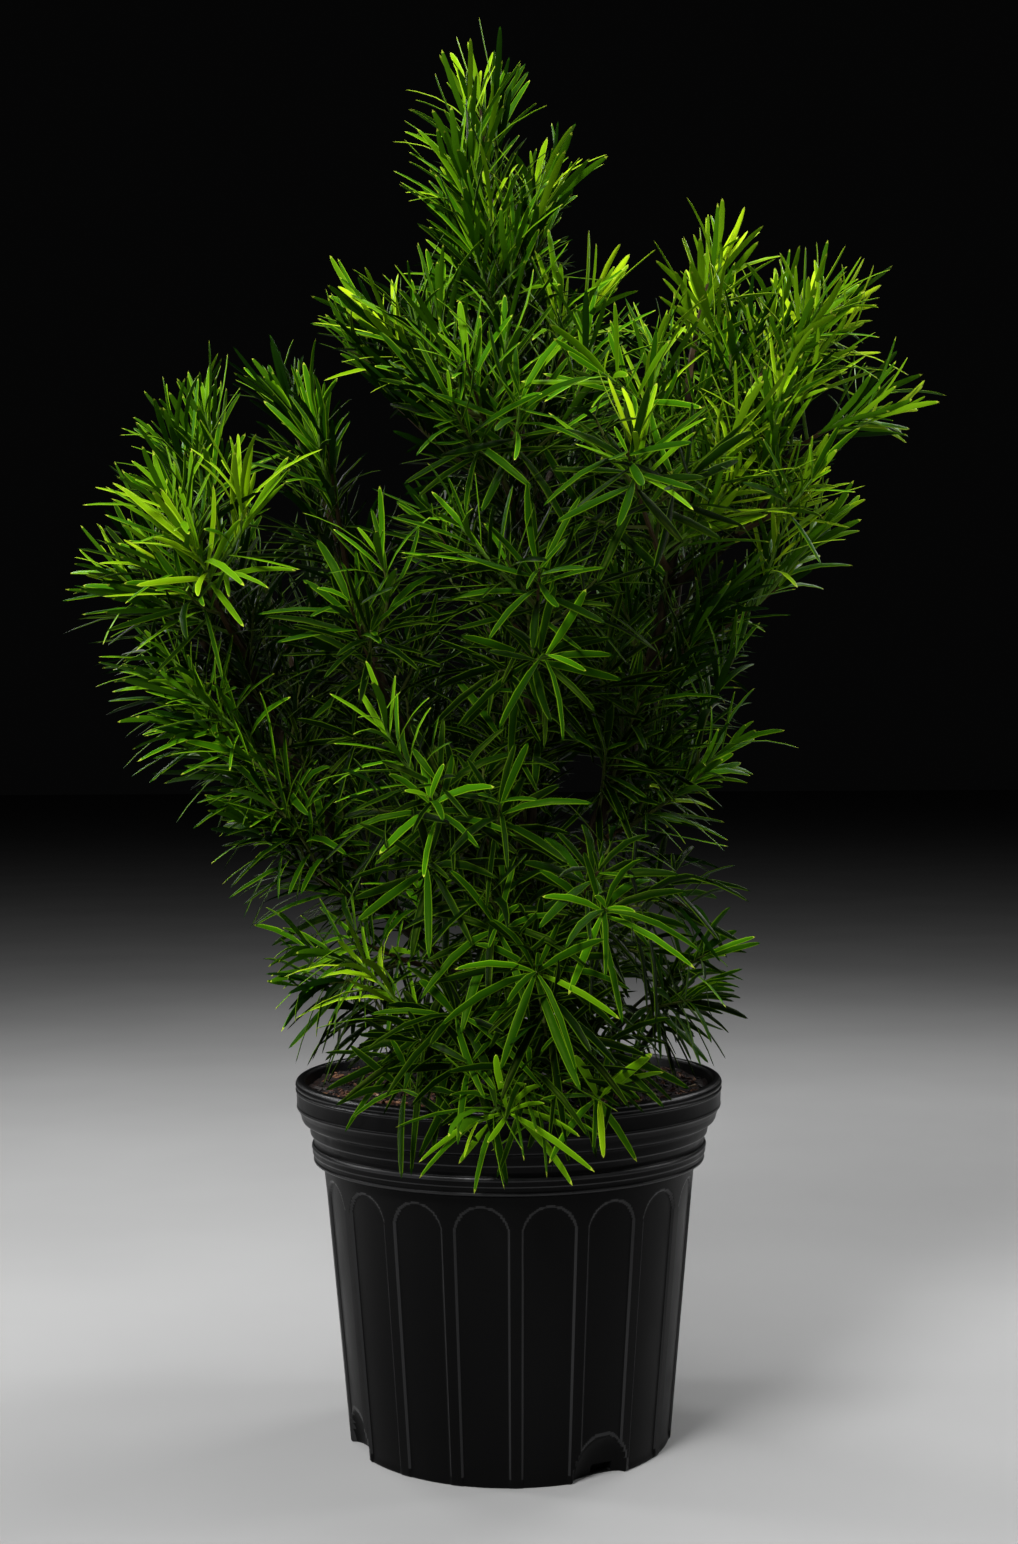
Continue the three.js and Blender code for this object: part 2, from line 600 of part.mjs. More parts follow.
function massMesh(mass, plant) {
  const random = seededRandom(mass.seed);
  const twigs = twigsOfMass(mass, plant, random);
  const tubes = twigs.map((twig) => twigTube(twig, TWIG_RADIUS, 1));
  let joined = addTogether([twigTube(mass.curve, mass.foot, STEM_RINGS), ...tubes]);
  const { least, most } = STEM_LEAVES;
  const stemLeaves = THREE.MathUtils.clamp(Math.round(mass.length / STEM_LEAF_PITCH), least, most);
  joined = addLeaves(joined, mass.curve, stemLeaves, mass, plant, random);
  for (const twig of twigs) joined = addLeaves(joined, twig, LEAVES_ON_TWIG, mass, plant, random);
  for (const limb of plant.limbs.values()) joined = joined.subtract(limb.inflated);
  return meshFromSolid(mass.name, joined, materials.leaves);
}

// The whole plant in its pot

const limbs = allLimbs();
for (const limb of limbs.values()) {
  limb.points = polyline(limb.curve, 24);
  limb.widest = limb.radiusAt(0.15);
  limb.inflated = tubeSolid(limb, CLEARANCE);
}
const masses = MASSES.map((row, index) => stemOfMass(row, index, limbs));
const plant = { limbs, masses };

const pottedPodocarpus = new THREE.Group();
pottedPodocarpus.add(potMesh(), soilMesh());
for (const limb of limbs.values()) pottedPodocarpus.add(limbMesh(limb));
for (const mass of masses) pottedPodocarpus.add(massMesh(mass, plant));

export default pottedPodocarpus;
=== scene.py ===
"""Dresses a packed potted podocarpus: ribbed pot, soil, bark, twigs and leaves, in its own frame.

Lengths are in millimetres until a mesh is made; Blender's own objects are in metres.
"""
import math

import bpy
import numpy as np
from mathutils import Euler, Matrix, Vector, noise


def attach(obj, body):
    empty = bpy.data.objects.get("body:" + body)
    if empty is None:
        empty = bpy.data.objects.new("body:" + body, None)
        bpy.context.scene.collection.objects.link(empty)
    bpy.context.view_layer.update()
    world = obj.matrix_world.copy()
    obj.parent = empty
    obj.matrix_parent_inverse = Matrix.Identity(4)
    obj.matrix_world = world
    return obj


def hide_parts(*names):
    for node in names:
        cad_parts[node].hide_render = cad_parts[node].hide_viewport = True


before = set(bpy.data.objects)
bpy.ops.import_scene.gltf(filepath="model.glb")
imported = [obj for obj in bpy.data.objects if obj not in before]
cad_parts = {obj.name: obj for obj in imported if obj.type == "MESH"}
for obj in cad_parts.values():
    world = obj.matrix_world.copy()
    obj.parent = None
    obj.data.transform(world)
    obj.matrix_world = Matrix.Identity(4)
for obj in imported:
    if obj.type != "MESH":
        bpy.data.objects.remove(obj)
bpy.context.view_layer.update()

MM = 0.001
UP = np.array([0.0, 0.0, 1.0])
GOLDEN_ANGLE = math.pi * (3 - math.sqrt(5))

# Camera, as the photograph was taken
PHOTO_SIZE = (1018, 1544)
FOCAL_PIXELS = 1938
SENSOR = 36.0
CAMERA_PLACE = (1.3, -1280.0, 434.8)
CAMERA_ROLL = math.radians(0.30)
CAMERA_ACROSS = np.array([math.cos(CAMERA_ROLL), 0, -math.sin(CAMERA_ROLL)])
CAMERA_UP = np.array([math.sin(CAMERA_ROLL), 0, math.cos(CAMERA_ROLL)])

# Pot
RIM_RADIUS = 140.0
RIM_HEIGHT = 235.3
WALL = 3.2
BODY_TOP_RADIUS = 121.7
BODY_TOP_HEIGHT = 180.0
BASE_RADIUS = 105.4
FLOOR_THICKNESS = 4.0
PANEL_COUNT = 18
FIRST_RIB_ANGLE = 1.9
PANEL_PITCH = 360 / PANEL_COUNT
PANEL_SHARE = 0.83  # of the pitch; the rest is the rib
PANEL_HALF_ANGLE = PANEL_SHARE * PANEL_PITCH / 2
PANEL_DEPTH = 1.5
PANEL_EDGE = 1.7  # width of the slope between a rib and its panel
PANEL_RUNOUT = (-3.0, 5.0)  # heights between which the panels fade in from the foot
PANEL_ARCH_TOP = 174.5
DRAIN_PANELS = (1, 5, 10, 14)
DRAIN = {"half_width": 20.0, "height": 27.0, "depth": 9.0}
DRAIN_SLOT = {"middle": 5.0, "half_width": 7.5, "sill": 2.0, "head": 6.5, "depth": 5.0}
# Angle, height, half width, half height and depth of the moulding nicks on the left bands
NICKS = ((-60.5, 204.6, 1.0, 3.0, 1.6), (-54.5, 197.6, 1.0, 2.0, 1.4))
NICKED_RADIUS = 124.0  # only the outer side, past this radius, is nicked
FOOT_EDGE = {"inset": 1.1, "height": 1.3}  # how the wall is eased into the base

# Soil
SOIL_TOP = 228.0
SOIL_RADIUS = 132.0
SOIL_SKIRT = 12.0  # how far the soil's side goes down
SOIL_GRID = (66, 220)  # rings and columns
SOIL_SWELL_SIZE = 26.0
SOIL_SWELLS = ((2.2, 1.0), (1.5, 3.1))  # height of each and how much finer it is
SOIL_CRUMBS = ((0.9, 3.2), (0.6, 1.4))  # height and size of each
MOUND_HEIGHT = 4  # how far the soil rises round the trunk
MOUND_SPREAD = 30.0

# Limbs
TRUNK_AXIS = (
    (-1, 0, 214), (1, 0, 250), (8, 0, 317), (15, 0, 443), (16, 0, 560), (6, 0, 690), (-8, 0, 802),
)
TRUNK_FOOT_RADIUS = 11.0
TRUNK_RADIUS = 7.4
TRUNK_TIP_RADIUS = 2.6
FLARE_FADE = 11.7  # length over which the flare falls to about a third
# Name, parent, height of the fork, tip, bow of the middle, and radii at the foot and the tip
BOUGHS = (
    ("bough_left", "trunk", 268, (-178, 2, 528), (-18, 0, -14), (5.6, 3.0)),
    ("bough_right", "trunk", 300, (122, 2, 694), (25, 0, -12), (6.0, 2.8)),
    ("bough_left_inner", "trunk", 335, (-112, 6, 590), (-14, 6, -6), (4.2, 2.4)),
    ("bough_front", "trunk", 262, (12, -104, 322), (0, -6, -6), (4.2, 2.6)),
    ("bough_rear", "trunk", 282, (-8, 100, 522), (6, 24, -14), (4.8, 2.6)),
    ("bough_left_outer", "bough_left", 474, (-208, 0, 538), (-4, 0, -5), (2.8, 2.3)),
    ("bough_left_rear", "bough_left", 345, (-150, 94, 505), (-8, 10, -10), (3.6, 2.4)),
    ("bough_right_outer", "bough_right", 556, (186, 4, 640), (6, 0, -7), (3.0, 2.3)),
    ("bough_right_high", "bough_right", 628, (166, -8, 690), (5, 0, -5), (2.7, 2.2)),
    ("bough_right_rear", "bough_right", 420, (124, 92, 582), (8, 10, -10), (3.6, 2.4)),
)
BARK_RELIEFS = ((0.6, 2.2, 7), (0.4, 1.1, 4), (0.9, 9, 2.5))  # share, size and upward stretch of each grain
BARK_DEPTH = 0.055  # share of the limb's radius
TRUNK_MESH = (26, 3.0)  # sides and space between rings
BOUGH_MESH = (16, 4.0)

# Masses by region: name, limb, height of the foot or "tip", bud, how fresh and lit the leaves are, which
# carries painted light and shade into their tints, and how spread they are
MASSES = {
    "crown": (
        ("crown_top", "trunk", "tip", (-17, 0, 890), 0.76, 0.00),
        ("crown_left", "trunk", 752, (-36, -18, 822), 0.80, 0.10),
        ("crown_right", "trunk", 768, (34, 10, 838), 0.72, 0.10),
        ("crown_rear", "trunk", 725, (11, 80, 815), 0.50, 0.10),
        ("upper_left", "trunk", 655, (-99, -25, 740), 0.56, 0.10),
        ("upper_left_low", "trunk", 612, (-105, 52, 718), 0.42, 0.20),
        ("upper_front", "trunk", 588, (-26, -122, 690), 0.55, 0.30),
        ("small_spire", "trunk", 668, (65, -35, 748), 1.00, 0.10),
        ("upper_rear_left", "trunk", 640, (-62, 128, 748), 0.50, 0.10),
        ("upper_rear_right", "trunk", 604, (66, 130, 740), 0.60, 0.10),
    ),
    # Tints on the right are raised as painted backlight
    "right": (
        ("right_spire", "bough_right", "tip", (141, 0, 781), 1.20, 0.05),
        ("right_high", "bough_right_high", "tip", (229, -15, 743), 1.00, 0.10),
        ("right_high_rear", "bough_right_high", 660, (193, 58, 742), 0.88, 0.10),
        ("far_right", "bough_right_outer", "tip", (250, 5, 674), 0.76, 0.15),
        ("right_mid", "bough_right_outer", 592, (200, -32, 622), 0.84, 0.20),
        ("right_low", "bough_right", 505, (190, 15, 562), 0.62, 0.30),
        ("right_lower", "bough_right", 385, (131, -15, 435), 0.66, 0.35),
        ("star", "bough_right", 566, (69, -165, 623), 0.30, 0.85),
        ("right_rear", "bough_right_rear", "tip", (146, 135, 685), 0.66, 0.20),
        ("right_rear_low", "bough_right_rear", 465, (62, 122, 535), 0.45, 0.30),
    ),
    "left": (
        ("left_top", "bough_left", "tip", (-211, 10, 682), 0.62, 0.10),
        ("left_spire", "bough_left_inner", "tip", (-156, 5, 696), 0.46, 0.05),
        ("left_small", "bough_left_inner", 556, (-112, -70, 648), 0.32, 0.10),
        ("left_face", "bough_left", 512, (-210, -85, 612), 0.66, 0.30),
        ("far_left", "bough_left_outer", "tip", (-248, 0, 578), 0.48, 0.20),
        ("left_mid", "bough_left", 428, (-236, -18, 506), 0.62, 0.25),
        ("left_lower", "bough_left", 378, (-208, 12, 454), 0.52, 0.30),
        ("left_under", "bough_left", 336, (-176, -22, 408), 0.48, 0.40),
        ("left_rear", "bough_left_rear", "tip", (-190, 125, 602), 0.45, 0.20),
        ("left_rear_low", "bough_left_rear", 420, (-160, 140, 472), 0.30, 0.30),
    ),
    "centre": (
        ("centre_left", "bough_left_inner", 460, (-97, -115, 544), 0.25, 0.40),
        ("centre_high", "trunk", 490, (20, -150, 558), 0.18, 0.70),
        ("centre_mid", "trunk", 372, (-44, -150, 433), 0.10, 0.70),
        ("centre_low", "trunk", 318, (55, -165, 380), 0.20, 0.90),
        ("inner_left", "trunk", 520, (-52, -40, 600), 0.26, 0.30),
    ),
    "foot": (
        ("front_low", "bough_front", "tip", (17, -185, 323), 0.02, 1.00),
        ("front_foot", "bough_front", 292, (30, -172, 252), 0.06, 1.00),
        ("front_left_foot", "trunk", 255, (-72, -125, 258), 0.12, 0.80),
        ("left_foot", "bough_left", 305, (-106, -50, 334), 0.58, 0.60),
        ("left_skirt", "trunk", 252, (-122, 32, 284), 0.25, 0.90),
        ("right_foot", "bough_right", 330, (127, -35, 349), 0.18, 0.70),
        ("right_skirt", "trunk", 256, (129, 30, 291), 0.28, 0.90),
    ),
    "rear": (
        ("rear_high", "bough_rear", "tip", (-42, 138, 622), 0.45, 0.40),
        ("rear_mid", "bough_rear", 430, (-72, 140, 492), 0.40, 0.50),
        ("rear_low", "bough_rear", 330, (-44, 150, 372), 0.40, 0.80),
        ("rear_right_low", "bough_right_rear", 430, (88, 150, 440), 0.35, 0.60),
    ),
}

# The crown's outline in the photograph's pixels, clockwise from its top
OUTLINE = np.array((
    (468, 18), (527, 56), (516, 140), (545, 147), (562, 119), (603, 168), (550, 222), (584, 285),
    (594, 230), (652, 257), (640, 300), (652, 328), (672, 301), (658, 240), (690, 195), (749, 185),
    (760, 260), (832, 249), (896, 271), (858, 336), (902, 350), (942, 404), (900, 433), (818, 452),
    (868, 497), (826, 559), (746, 632), (737, 690), (792, 738), (708, 790), (758, 887), (772, 930),
    (740, 1001), (724, 1038), (700, 1060), (664, 1108), (632, 1146), (500, 1194), (420, 1186), (340, 1136),
    (306, 1056), (270, 1000), (244, 890), (200, 812), (132, 742), (102, 655), (66, 584), (76, 540),
    (106, 498), (124, 422), (187, 367), (268, 323), (332, 384), (352, 500), (384, 470), (420, 448),
    (392, 400), (326, 344), (318, 300), (328, 267), (400, 272), (446, 218), (403, 188), (416, 80),
    (438, 33),
), float)
# Gaps where sky shows through the crown, each as its middle, half width and half height
SKY_GAPS = np.array((
    (246, 417, 19, 26), (281, 512, 26, 13), (586, 774, 26, 23), (738, 552, 18, 16),
    (691, 582, 17, 18), (640, 991, 13, 20), (815, 418, 22, 24),
), float)

# Shoots seen singly: the bud's pixel, its depth, degrees clockwise from upright, how fresh and lit (painted
# light and shade in the tints), how spread
SHOOTS = {
    "crown": (
        (466, 104, -25, -12, 0.76, 0.10), (536, 186, -10, -5, 0.78, 0.10),
        (458, 157, -35, -15, 0.60, 0.15), (490, 205, -50, -5, 0.72, 0.10),
        (516, 232, -50, 10, 0.56, 0.10), (468, 226, -60, -15, 0.50, 0.10),
        (447, 242, -30, -40, 0.66, 0.15), (545, 238, -10, 35, 0.35, 0.15),
        (385, 327, -45, -35, 0.95, 0.15), (412, 302, -50, -10, 0.62, 0.10),
        (440, 300, -70, 5, 0.55, 0.10), (345, 347, -30, -55, 0.36, 0.15),
        (400, 396, -50, -60, 0.10, 0.15), (507, 332, -100, 5, 0.62, 0.15),
        (520, 396, -130, 0, 0.50, 0.50), (602, 373, -120, -55, 0.50, 0.45),
        (585, 332, -70, -10, 0.38, 0.15), (452, 402, -130, -20, 0.46, 0.40),
    ),
    "right": (
        (655, 346, -60, 5, 0.86, 0.10), (700, 302, -10, -25, 1.22, 0.10),
        (775, 303, 0, 5, 1.06, 0.10), (806, 305, -10, 10, 1.08, 0.10),
        (850, 333, 0, 60, 0.98, 0.15), (812, 386, -15, 45, 0.96, 0.10),
        (782, 388, -50, 15, 0.80, 0.15), (740, 418, -60, 20, 0.84, 0.25),
        (802, 487, -20, 25, 1.00, 0.05), (828, 523, 0, 40, 0.74, 0.15),
        (812, 548, 10, 65, 0.58, 0.20), (725, 588, -10, 25, 0.48, 0.10),
        (700, 612, -20, 10, 0.42, 0.15), (732, 480, -50, 30, 0.94, 0.20),
        (715, 508, -60, 45, 0.78, 0.20), (636, 434, -150, -3, 0.76, 0.15),
        (735, 657, -20, 35, 0.45, 0.15), (732, 742, -20, 50, 0.50, 0.20),
        (705, 772, -30, 50, 0.40, 0.25), (902, 408, 5, 66, 0.98, 0.12),
    ),
    "left": (
        (290, 407, -15, -25, 0.40, 0.05), (319, 414, -75, 5, 0.50, 0.05),
        (185, 536, -90, -38, 0.84, 0.05), (165, 500, -80, -40, 0.76, 0.05),
        (160, 442, -50, -45, 0.60, 0.10), (205, 412, -30, -15, 0.66, 0.05),
        (236, 482, -85, -25, 0.72, 0.05), (172, 416, -40, -35, 0.62, 0.10),
        (115, 570, -15, -50, 0.76, 0.10), (135, 592, -30, -65, 0.60, 0.15),
        (162, 562, -50, -50, 0.74, 0.10), (185, 692, -50, -60, 0.62, 0.10),
        (170, 657, -30, -50, 0.60, 0.10), (175, 727, -20, -75, 0.50, 0.15),
        (235, 747, -50, -50, 0.45, 0.15), (262, 792, -60, -45, 0.42, 0.15),
    ),
    "centre": (
        (382, 718, -135, -15, 0.66, 0.30), (376, 552, -100, -30, 0.42, 0.25),
        (460, 526, -130, -40, 0.55, 0.25), (548, 655, -140, 60, 0.25, 0.65),
        (430, 797, -150, 0, 0.44, 0.55), (500, 803, -150, 0, 0.26, 0.50),
        (606, 908, -175, 20, 0.42, 0.75), (425, 863, -150, -20, 0.17, 0.70),
        (545, 700, -70, 10, 0.08, 0.40), (608, 646, -60, 15, 0.06, 0.40),
        (640, 702, -50, 25, 0.10, 0.40), (606, 748, -60, 5, 0.06, 0.50),
        (500, 735, -70, -15, 0.03, 0.45), (496, 926, -165, -15, 0.25, 0.75),
    ),
    "foot": (
        (536, 972, -190, 5, 0.34, 0.90), (508, 1113, -172, -10, 0.56, 0.90),
        (478, 1122, -168, -120, 0.72, 0.40), (600, 1098, -160, 25, 0.58, 0.80),
        (402, 1090, -140, -60, 0.20, 0.70), (361, 963, -85, -42, 0.92, 0.08),
        (300, 945, -60, -60, 0.66, 0.20), (290, 985, -50, -85, 0.42, 0.30),
        (705, 955, -40, 60, 0.39, 0.40), (690, 1000, -50, 80, 0.29, 0.50),
        (560, 1032, -165, 0, 0.11, 0.80), (470, 1062, -160, -20, 0.10, 0.80),
        (530, 1068, -165, 10, 0.16, 0.80), (420, 1040, -140, -40, 0.10, 0.70),
        (600, 1048, -140, 30, 0.12, 0.70), (455, 1012, -155, -30, 0.05, 0.80),
    ),
}
SHOOT_REACH = 70.0  # how far behind its bud a shoot looks for the stem it grows from
SHOOT_SEED = 500

# Stems
BUD_SETBACK = 9.0
STEM_RADIUS = 2.5
STEM_LEAD = 0.5  # share of its length that a stem at a limb's tip leads on along the limb
STEM_EASE = 0.4  # how far that is eased towards a straight line
LEVEL_RISE = 0.2  # a stem that rises less than this share of its length arches up, and others sag
STEM_ARCH = 0.22
STEM_SAG = -0.1

# Room for foliage
LIMB_SAMPLES = 25
STEM_SAMPLES = 7
REACHES = (56.0, 68.0)  # how far upright and spreading foliage goes from the nearest stem or limb
# How far foliage keeps from limbs, the rim's top and outside, the pot's inner wall and the soil
LIMB_GAP = 1
RIM_GAP = 3
WALL_GAP = 8
SOIL_GAP = 4

# Twigs, where a pair is for upright and for spreading masses
TWIG_RADIUS = 1.3
TWIG_TIP_RADIUS = 0.7
TWIG_SIDES = 5
TWIG_POINTS = 12
TWIG_RING_SPACING = 13
GREEN_TWIG = 0.5  # twigs fresher and more lit than this are green
TWIG_STRETCH = (0.12, 0.86)  # shares of a stem between which it has twigs
TWIG_STAGGER = 0.3  # of their spacing
TWIG_LIMITS = (0.05, 0.95)  # shares of a stem that no twig stands past
TWIG_ANGLES = (math.radians(30), math.radians(58))
TWIG_ANGLE_SPREAD = 0.12
TWIG_LIFTS = (0.40, 0.10)
TWIG_LENGTHS = (60.0, 68.0)
TWIG_LENGTH_SHARES = (0.75, 1.1)
TWIG_TIP_LOSS = 0.3  # how much shorter twigs are at a stem's tip
TWIG_TRY_LOSS = 0.07  # and with each further try
TWIG_TRIES = 7
TWIG_SPACINGS = (17.0, 12.5)
REAR_DEPTH = 60.0  # masses with their buds in front of this have shoots that are placed singly
SEEN_SPACINGS = (2.2, 1.5)  # how much further apart the side twigs of those stand
FILLER_PAINTED_SHADE = 0.26  # how much lower the tints of side twigs are, as painted shade inside the masses
ASKEW = (0.31, 0.95, 0.05)  # a direction that no limb or twig follows

# Leafy sprigs on the limbs
SPRIG_SPACING = 13.0
SPRIG_LENGTH = 74.0
SPRIG_SPREAD = 0.3
SPRIG_STARTS = {"trunk": 0.10, "bough": 0.25}
SPRIG_END = 0.97
# Sprigs inside the crown get the darkest tints as painted shade, those on the right boughs lighter ones as
# painted backlight
SPRIG_FRESH_AND_LIT = 0.0
SPRIG_FRESH_AND_LIT_RIGHT = 0.45
SPRIG_SEED = 1000
INNER_FINENESS = 1.4  # how much narrower and more numerous their leaves are

# Leaves, where a pair is for upright and for spreading masses
LEAF_LENGTHS = (62.0, 51.0)
TIP_LEAF_LENGTH = 50.0
LEAF_LENGTH_SHARES = (0.82, 1.12)
BUD_LEAVES = 2  # the last of a shoot, which are shorter still
BUD_LEAF_SHARES = (0.35, 0.6)
LEAF_WIDTHS = (4.2, 5.2)
LEAF_WIDTH_SHARES = (0.66, 1.18)
SHORT_LEAF = 50.0  # leaves shorter than this are narrower
LEAST_WIDTH = 0.45
LEAF_PITCHES = (3.0, 2.5)  # from leaf to leaf along a twig
LEAST_LEAVES = 8
LEAFY_LENGTH = 66.0  # how far down from its bud a shoot has leaves at most
BARE_SHARES = (0.16, 0.38)  # of a twig, below its first leaf
LOW_LEAF_ANGLES = (math.radians(38), math.radians(88))  # at a shoot's foot
TIP_LEAF_ANGLES = (math.radians(15), math.radians(58))  # at its bud
LEAF_ANGLE_SPREAD = 0.11
LEAF_TRIES = 4
LEAF_TRY_TURN = 0.37  # of the golden angle
CROWDINGS = (1.0, 0.6)  # power of the share at which leaves stand: low ones crowd towards the bud
DROOP_HEIGHTS = (260.0, 620.0)  # leaves hang most below the first, and least above the second
# These pairs are for leaves high up and low down; droops and curls are shares of the length
LEAF_LIFTS = (0.05, 0.16)
LEAF_DROOPS = (0.08, 0.36)
LEAF_CURLS = (0.08, 0.11)
# How the droop, the curl and the sway to a side differ from leaf to leaf
DROOP_SHARES = (0.5, 1.4)
CURL_SPREAD = 0.15
SWAY_SPREAD = 0.12
LEAF_PROBES = np.array([[0.3], [0.6], [0.86]])  # shares of the length where room is looked for
# Shares of the length where a leaf's rings lie, and of its width there
NEAR_LEAF = ((0, 0.24), (0.10, 0.50), (0.31, 0.88), (0.60, 1.0), (0.85, 0.80), (0.96, 0.46))
FAR_LEAF = ((0, 0.30), (0.30, 0.95), (0.64, 0.95), (0.90, 0.45))
FAR_REGIONS = ("rear", "inner")
# A leaf's section: a raised blade between two margins that drop, over a keel
MARGIN_WIDTH = 0.42
LEAST_BLADE = 0.6  # share of half the width, as are the drop and the keel's share
MARGIN_DROP = 0.10
BLADE_RISE = 0.12
KEEL = {"depth": 0.35, "share": 0.1}
# Tints from dark to light, each with that of its underside and of its margins: the leaves' own greens with
# painted light and shade added
TINTS = {
    "shade": ("under_dark", "margin_dark"),
    "deep": ("under_dark", "margin_dark"),
    "mid": ("under_dark", "margin_dim"),
    "leaf": ("under_mid", "margin_mid"),
    "fresh_and_lit": ("under_mid", "margin_mid"),
    "bright": ("under_pale", "margin_pale"),
    "lime": ("under_pale", "margin_pale"),
}
FIRST_PALE_TIP = 3  # number of the first tint whose leaves have a pale tip
# How many tints freshness with painted light and nearness to the bud are worth, where the second counts
# from, and the spread
TINT_STEPS = {"fresh_and_lit": 5.2, "ripe": 1.5, "middle": 0.45, "spread": 0.5}
FRESH_AND_LIT_SPREAD = 0.05


def lerp(a, b, share):
    return a + (b - a) * share


def smooth_step(low, high, value):
    share = np.clip((value - low) / (high - low), 0, 1)
    return share * share * (3 - 2 * share)


def unit(vector):
    return vector / np.linalg.norm(vector)


def add_object(name, data):
    """A new object in the scene with the data."""
    made = bpy.data.objects.new(name, data)
    bpy.context.scene.collection.objects.link(made)
    return made


# Materials

NOISE_RANGE = (0.3, 0.7)


def principled(name, **sockets):
    """A new material, its node tree and its shader with the given sockets set."""
    material = bpy.data.materials.new(name)
    material.use_nodes = True
    tree = material.node_tree
    shader = tree.nodes["Principled BSDF"]
    for socket, value in sockets.items():
        shader.inputs[socket.replace("_", " ")].default_value = value
    return material, tree, shader


def noise_node(tree, scale, detail=4.0, stretch=(1, 1, 1)):
    """A noise texture in the object's own coordinates, and its output."""
    place = tree.nodes.new("ShaderNodeTexCoord")
    mapping = tree.nodes.new("ShaderNodeMapping")
    mapping.inputs["Scale"].default_value = stretch
    texture = tree.nodes.new("ShaderNodeTexNoise")
    texture.inputs["Scale"].default_value = scale
    texture.inputs["Detail"].default_value = detail
    tree.links.new(place.outputs["Object"], mapping.inputs["Vector"])
    tree.links.new(mapping.outputs["Vector"], texture.inputs["Vector"])
    return texture.outputs["Fac"]


def set_colours(tree, shader, factor, stops):
    """Base colours from a ramp that is read at a factor; stops are (position, colour)."""
    ramp = tree.nodes.new("ShaderNodeValToRGB")
    elements = ramp.color_ramp.elements
    while len(elements) < len(stops):
        elements.new(0.5)
    for element, (position, colour) in zip(elements, stops):
        element.position = position
        element.color = (*colour, 1)
    tree.links.new(factor, ramp.inputs["Fac"])
    tree.links.new(ramp.outputs["Color"], shader.inputs["Base Color"])


def set_roughness(tree, shader, factor, low, high):
    """Roughness from low to high, as noise goes over the range where it mostly lies."""
    node = tree.nodes.new("ShaderNodeMapRange")
    for socket, value in zip(("From Min", "From Max", "To Min", "To Max"), (*NOISE_RANGE, low, high)):
        node.inputs[socket].default_value = value
    tree.links.new(factor, node.inputs["Value"])
    tree.links.new(node.outputs["Result"], shader.inputs["Roughness"])


def add_bump(tree, shader, height, strength, distance):
    bump = tree.nodes.new("ShaderNodeBump")
    bump.inputs["Strength"].default_value = strength
    bump.inputs["Distance"].default_value = distance
    tree.links.new(height, bump.inputs["Height"])
    tree.links.new(bump.outputs["Normal"], shader.inputs["Normal"])


def pot_material(name, shade, gloss):
    """Black moulded plastic with a fine grain and faint flow marks."""
    material, tree, shader = principled(name, Specular_IOR_Level=gloss)
    cloud = noise_node(tree, 9, 6, (1, 1, 0.35))
    colours = ((0.35, (shade, shade, shade * 1.05)), (0.7, (shade * 2, shade * 2, shade * 2.1)))
    set_colours(tree, shader, cloud, colours)
    set_roughness(tree, shader, noise_node(tree, 38, 8, (1, 1, 0.5)), 0.30, 0.42)
    add_bump(tree, shader, noise_node(tree, 900, 3), 0.10, 0.0004)
    return material


def soil_material():
    material, tree, shader = principled("soil_mix", Specular_IOR_Level=0.25, Roughness=0.95)
    colours = ((0.32, (0.002, 0.001, 0.001)), (0.55, (0.008, 0.003, 0.002)), (0.75, (0.030, 0.011, 0.005)))
    set_colours(tree, shader, noise_node(tree, 240, 8), colours)
    add_bump(tree, shader, noise_node(tree, 420, 6), 0.9, 0.0015)
    return material


def chip_material(name, colour):
    material, tree, shader = principled(name, Base_Color=(*colour, 1), Roughness=0.8)
    add_bump(tree, shader, noise_node(tree, 700, 4, (1, 1, 0.3)), 0.6, 0.0006)
    return material


def bark_material():
    """Grey-brown bark with lengthwise fissures and lighter flakes."""
    material, tree, shader = principled("bark", Specular_IOR_Level=0.10)
    fissures = noise_node(tree, 210, 8, (1, 1, 0.16))
    colours = ((0.30, (0.004, 0.003, 0.001)), (0.52, (0.015, 0.010, 0.004)), (0.74, (0.050, 0.035, 0.016)))
    set_colours(tree, shader, fissures, colours)
    set_roughness(tree, shader, fissures, 0.9, 0.65)
    add_bump(tree, shader, noise_node(tree, 520, 6, (1, 1, 0.2)), 0.8, 0.0008)
    return material


def twig_material(name, colour):
    material, tree, shader = principled(name, Base_Color=(*colour, 1), Specular_IOR_Level=0.08)
    grain = noise_node(tree, 600, 5, (1, 1, 0.35))
    set_roughness(tree, shader, grain, 0.45, 0.7)
    add_bump(tree, shader, grain, 0.6, 0.0004)
    return material


def leaf_material(name, colour):
    """A waxy leaf of one plain green, with fine relief and an uneven polish."""
    material, tree, shader = principled(name, Base_Color=(*colour, 1), Specular_IOR_Level=0.045)
    shader.inputs["Specular Tint"].default_value = (0.70, 1.0, 0.10, 1)
    set_roughness(tree, shader, noise_node(tree, 260, 3), 0.35, 0.51)
    add_bump(tree, shader, noise_node(tree, 1100, 3), 0.18, 0.0003)
    return material


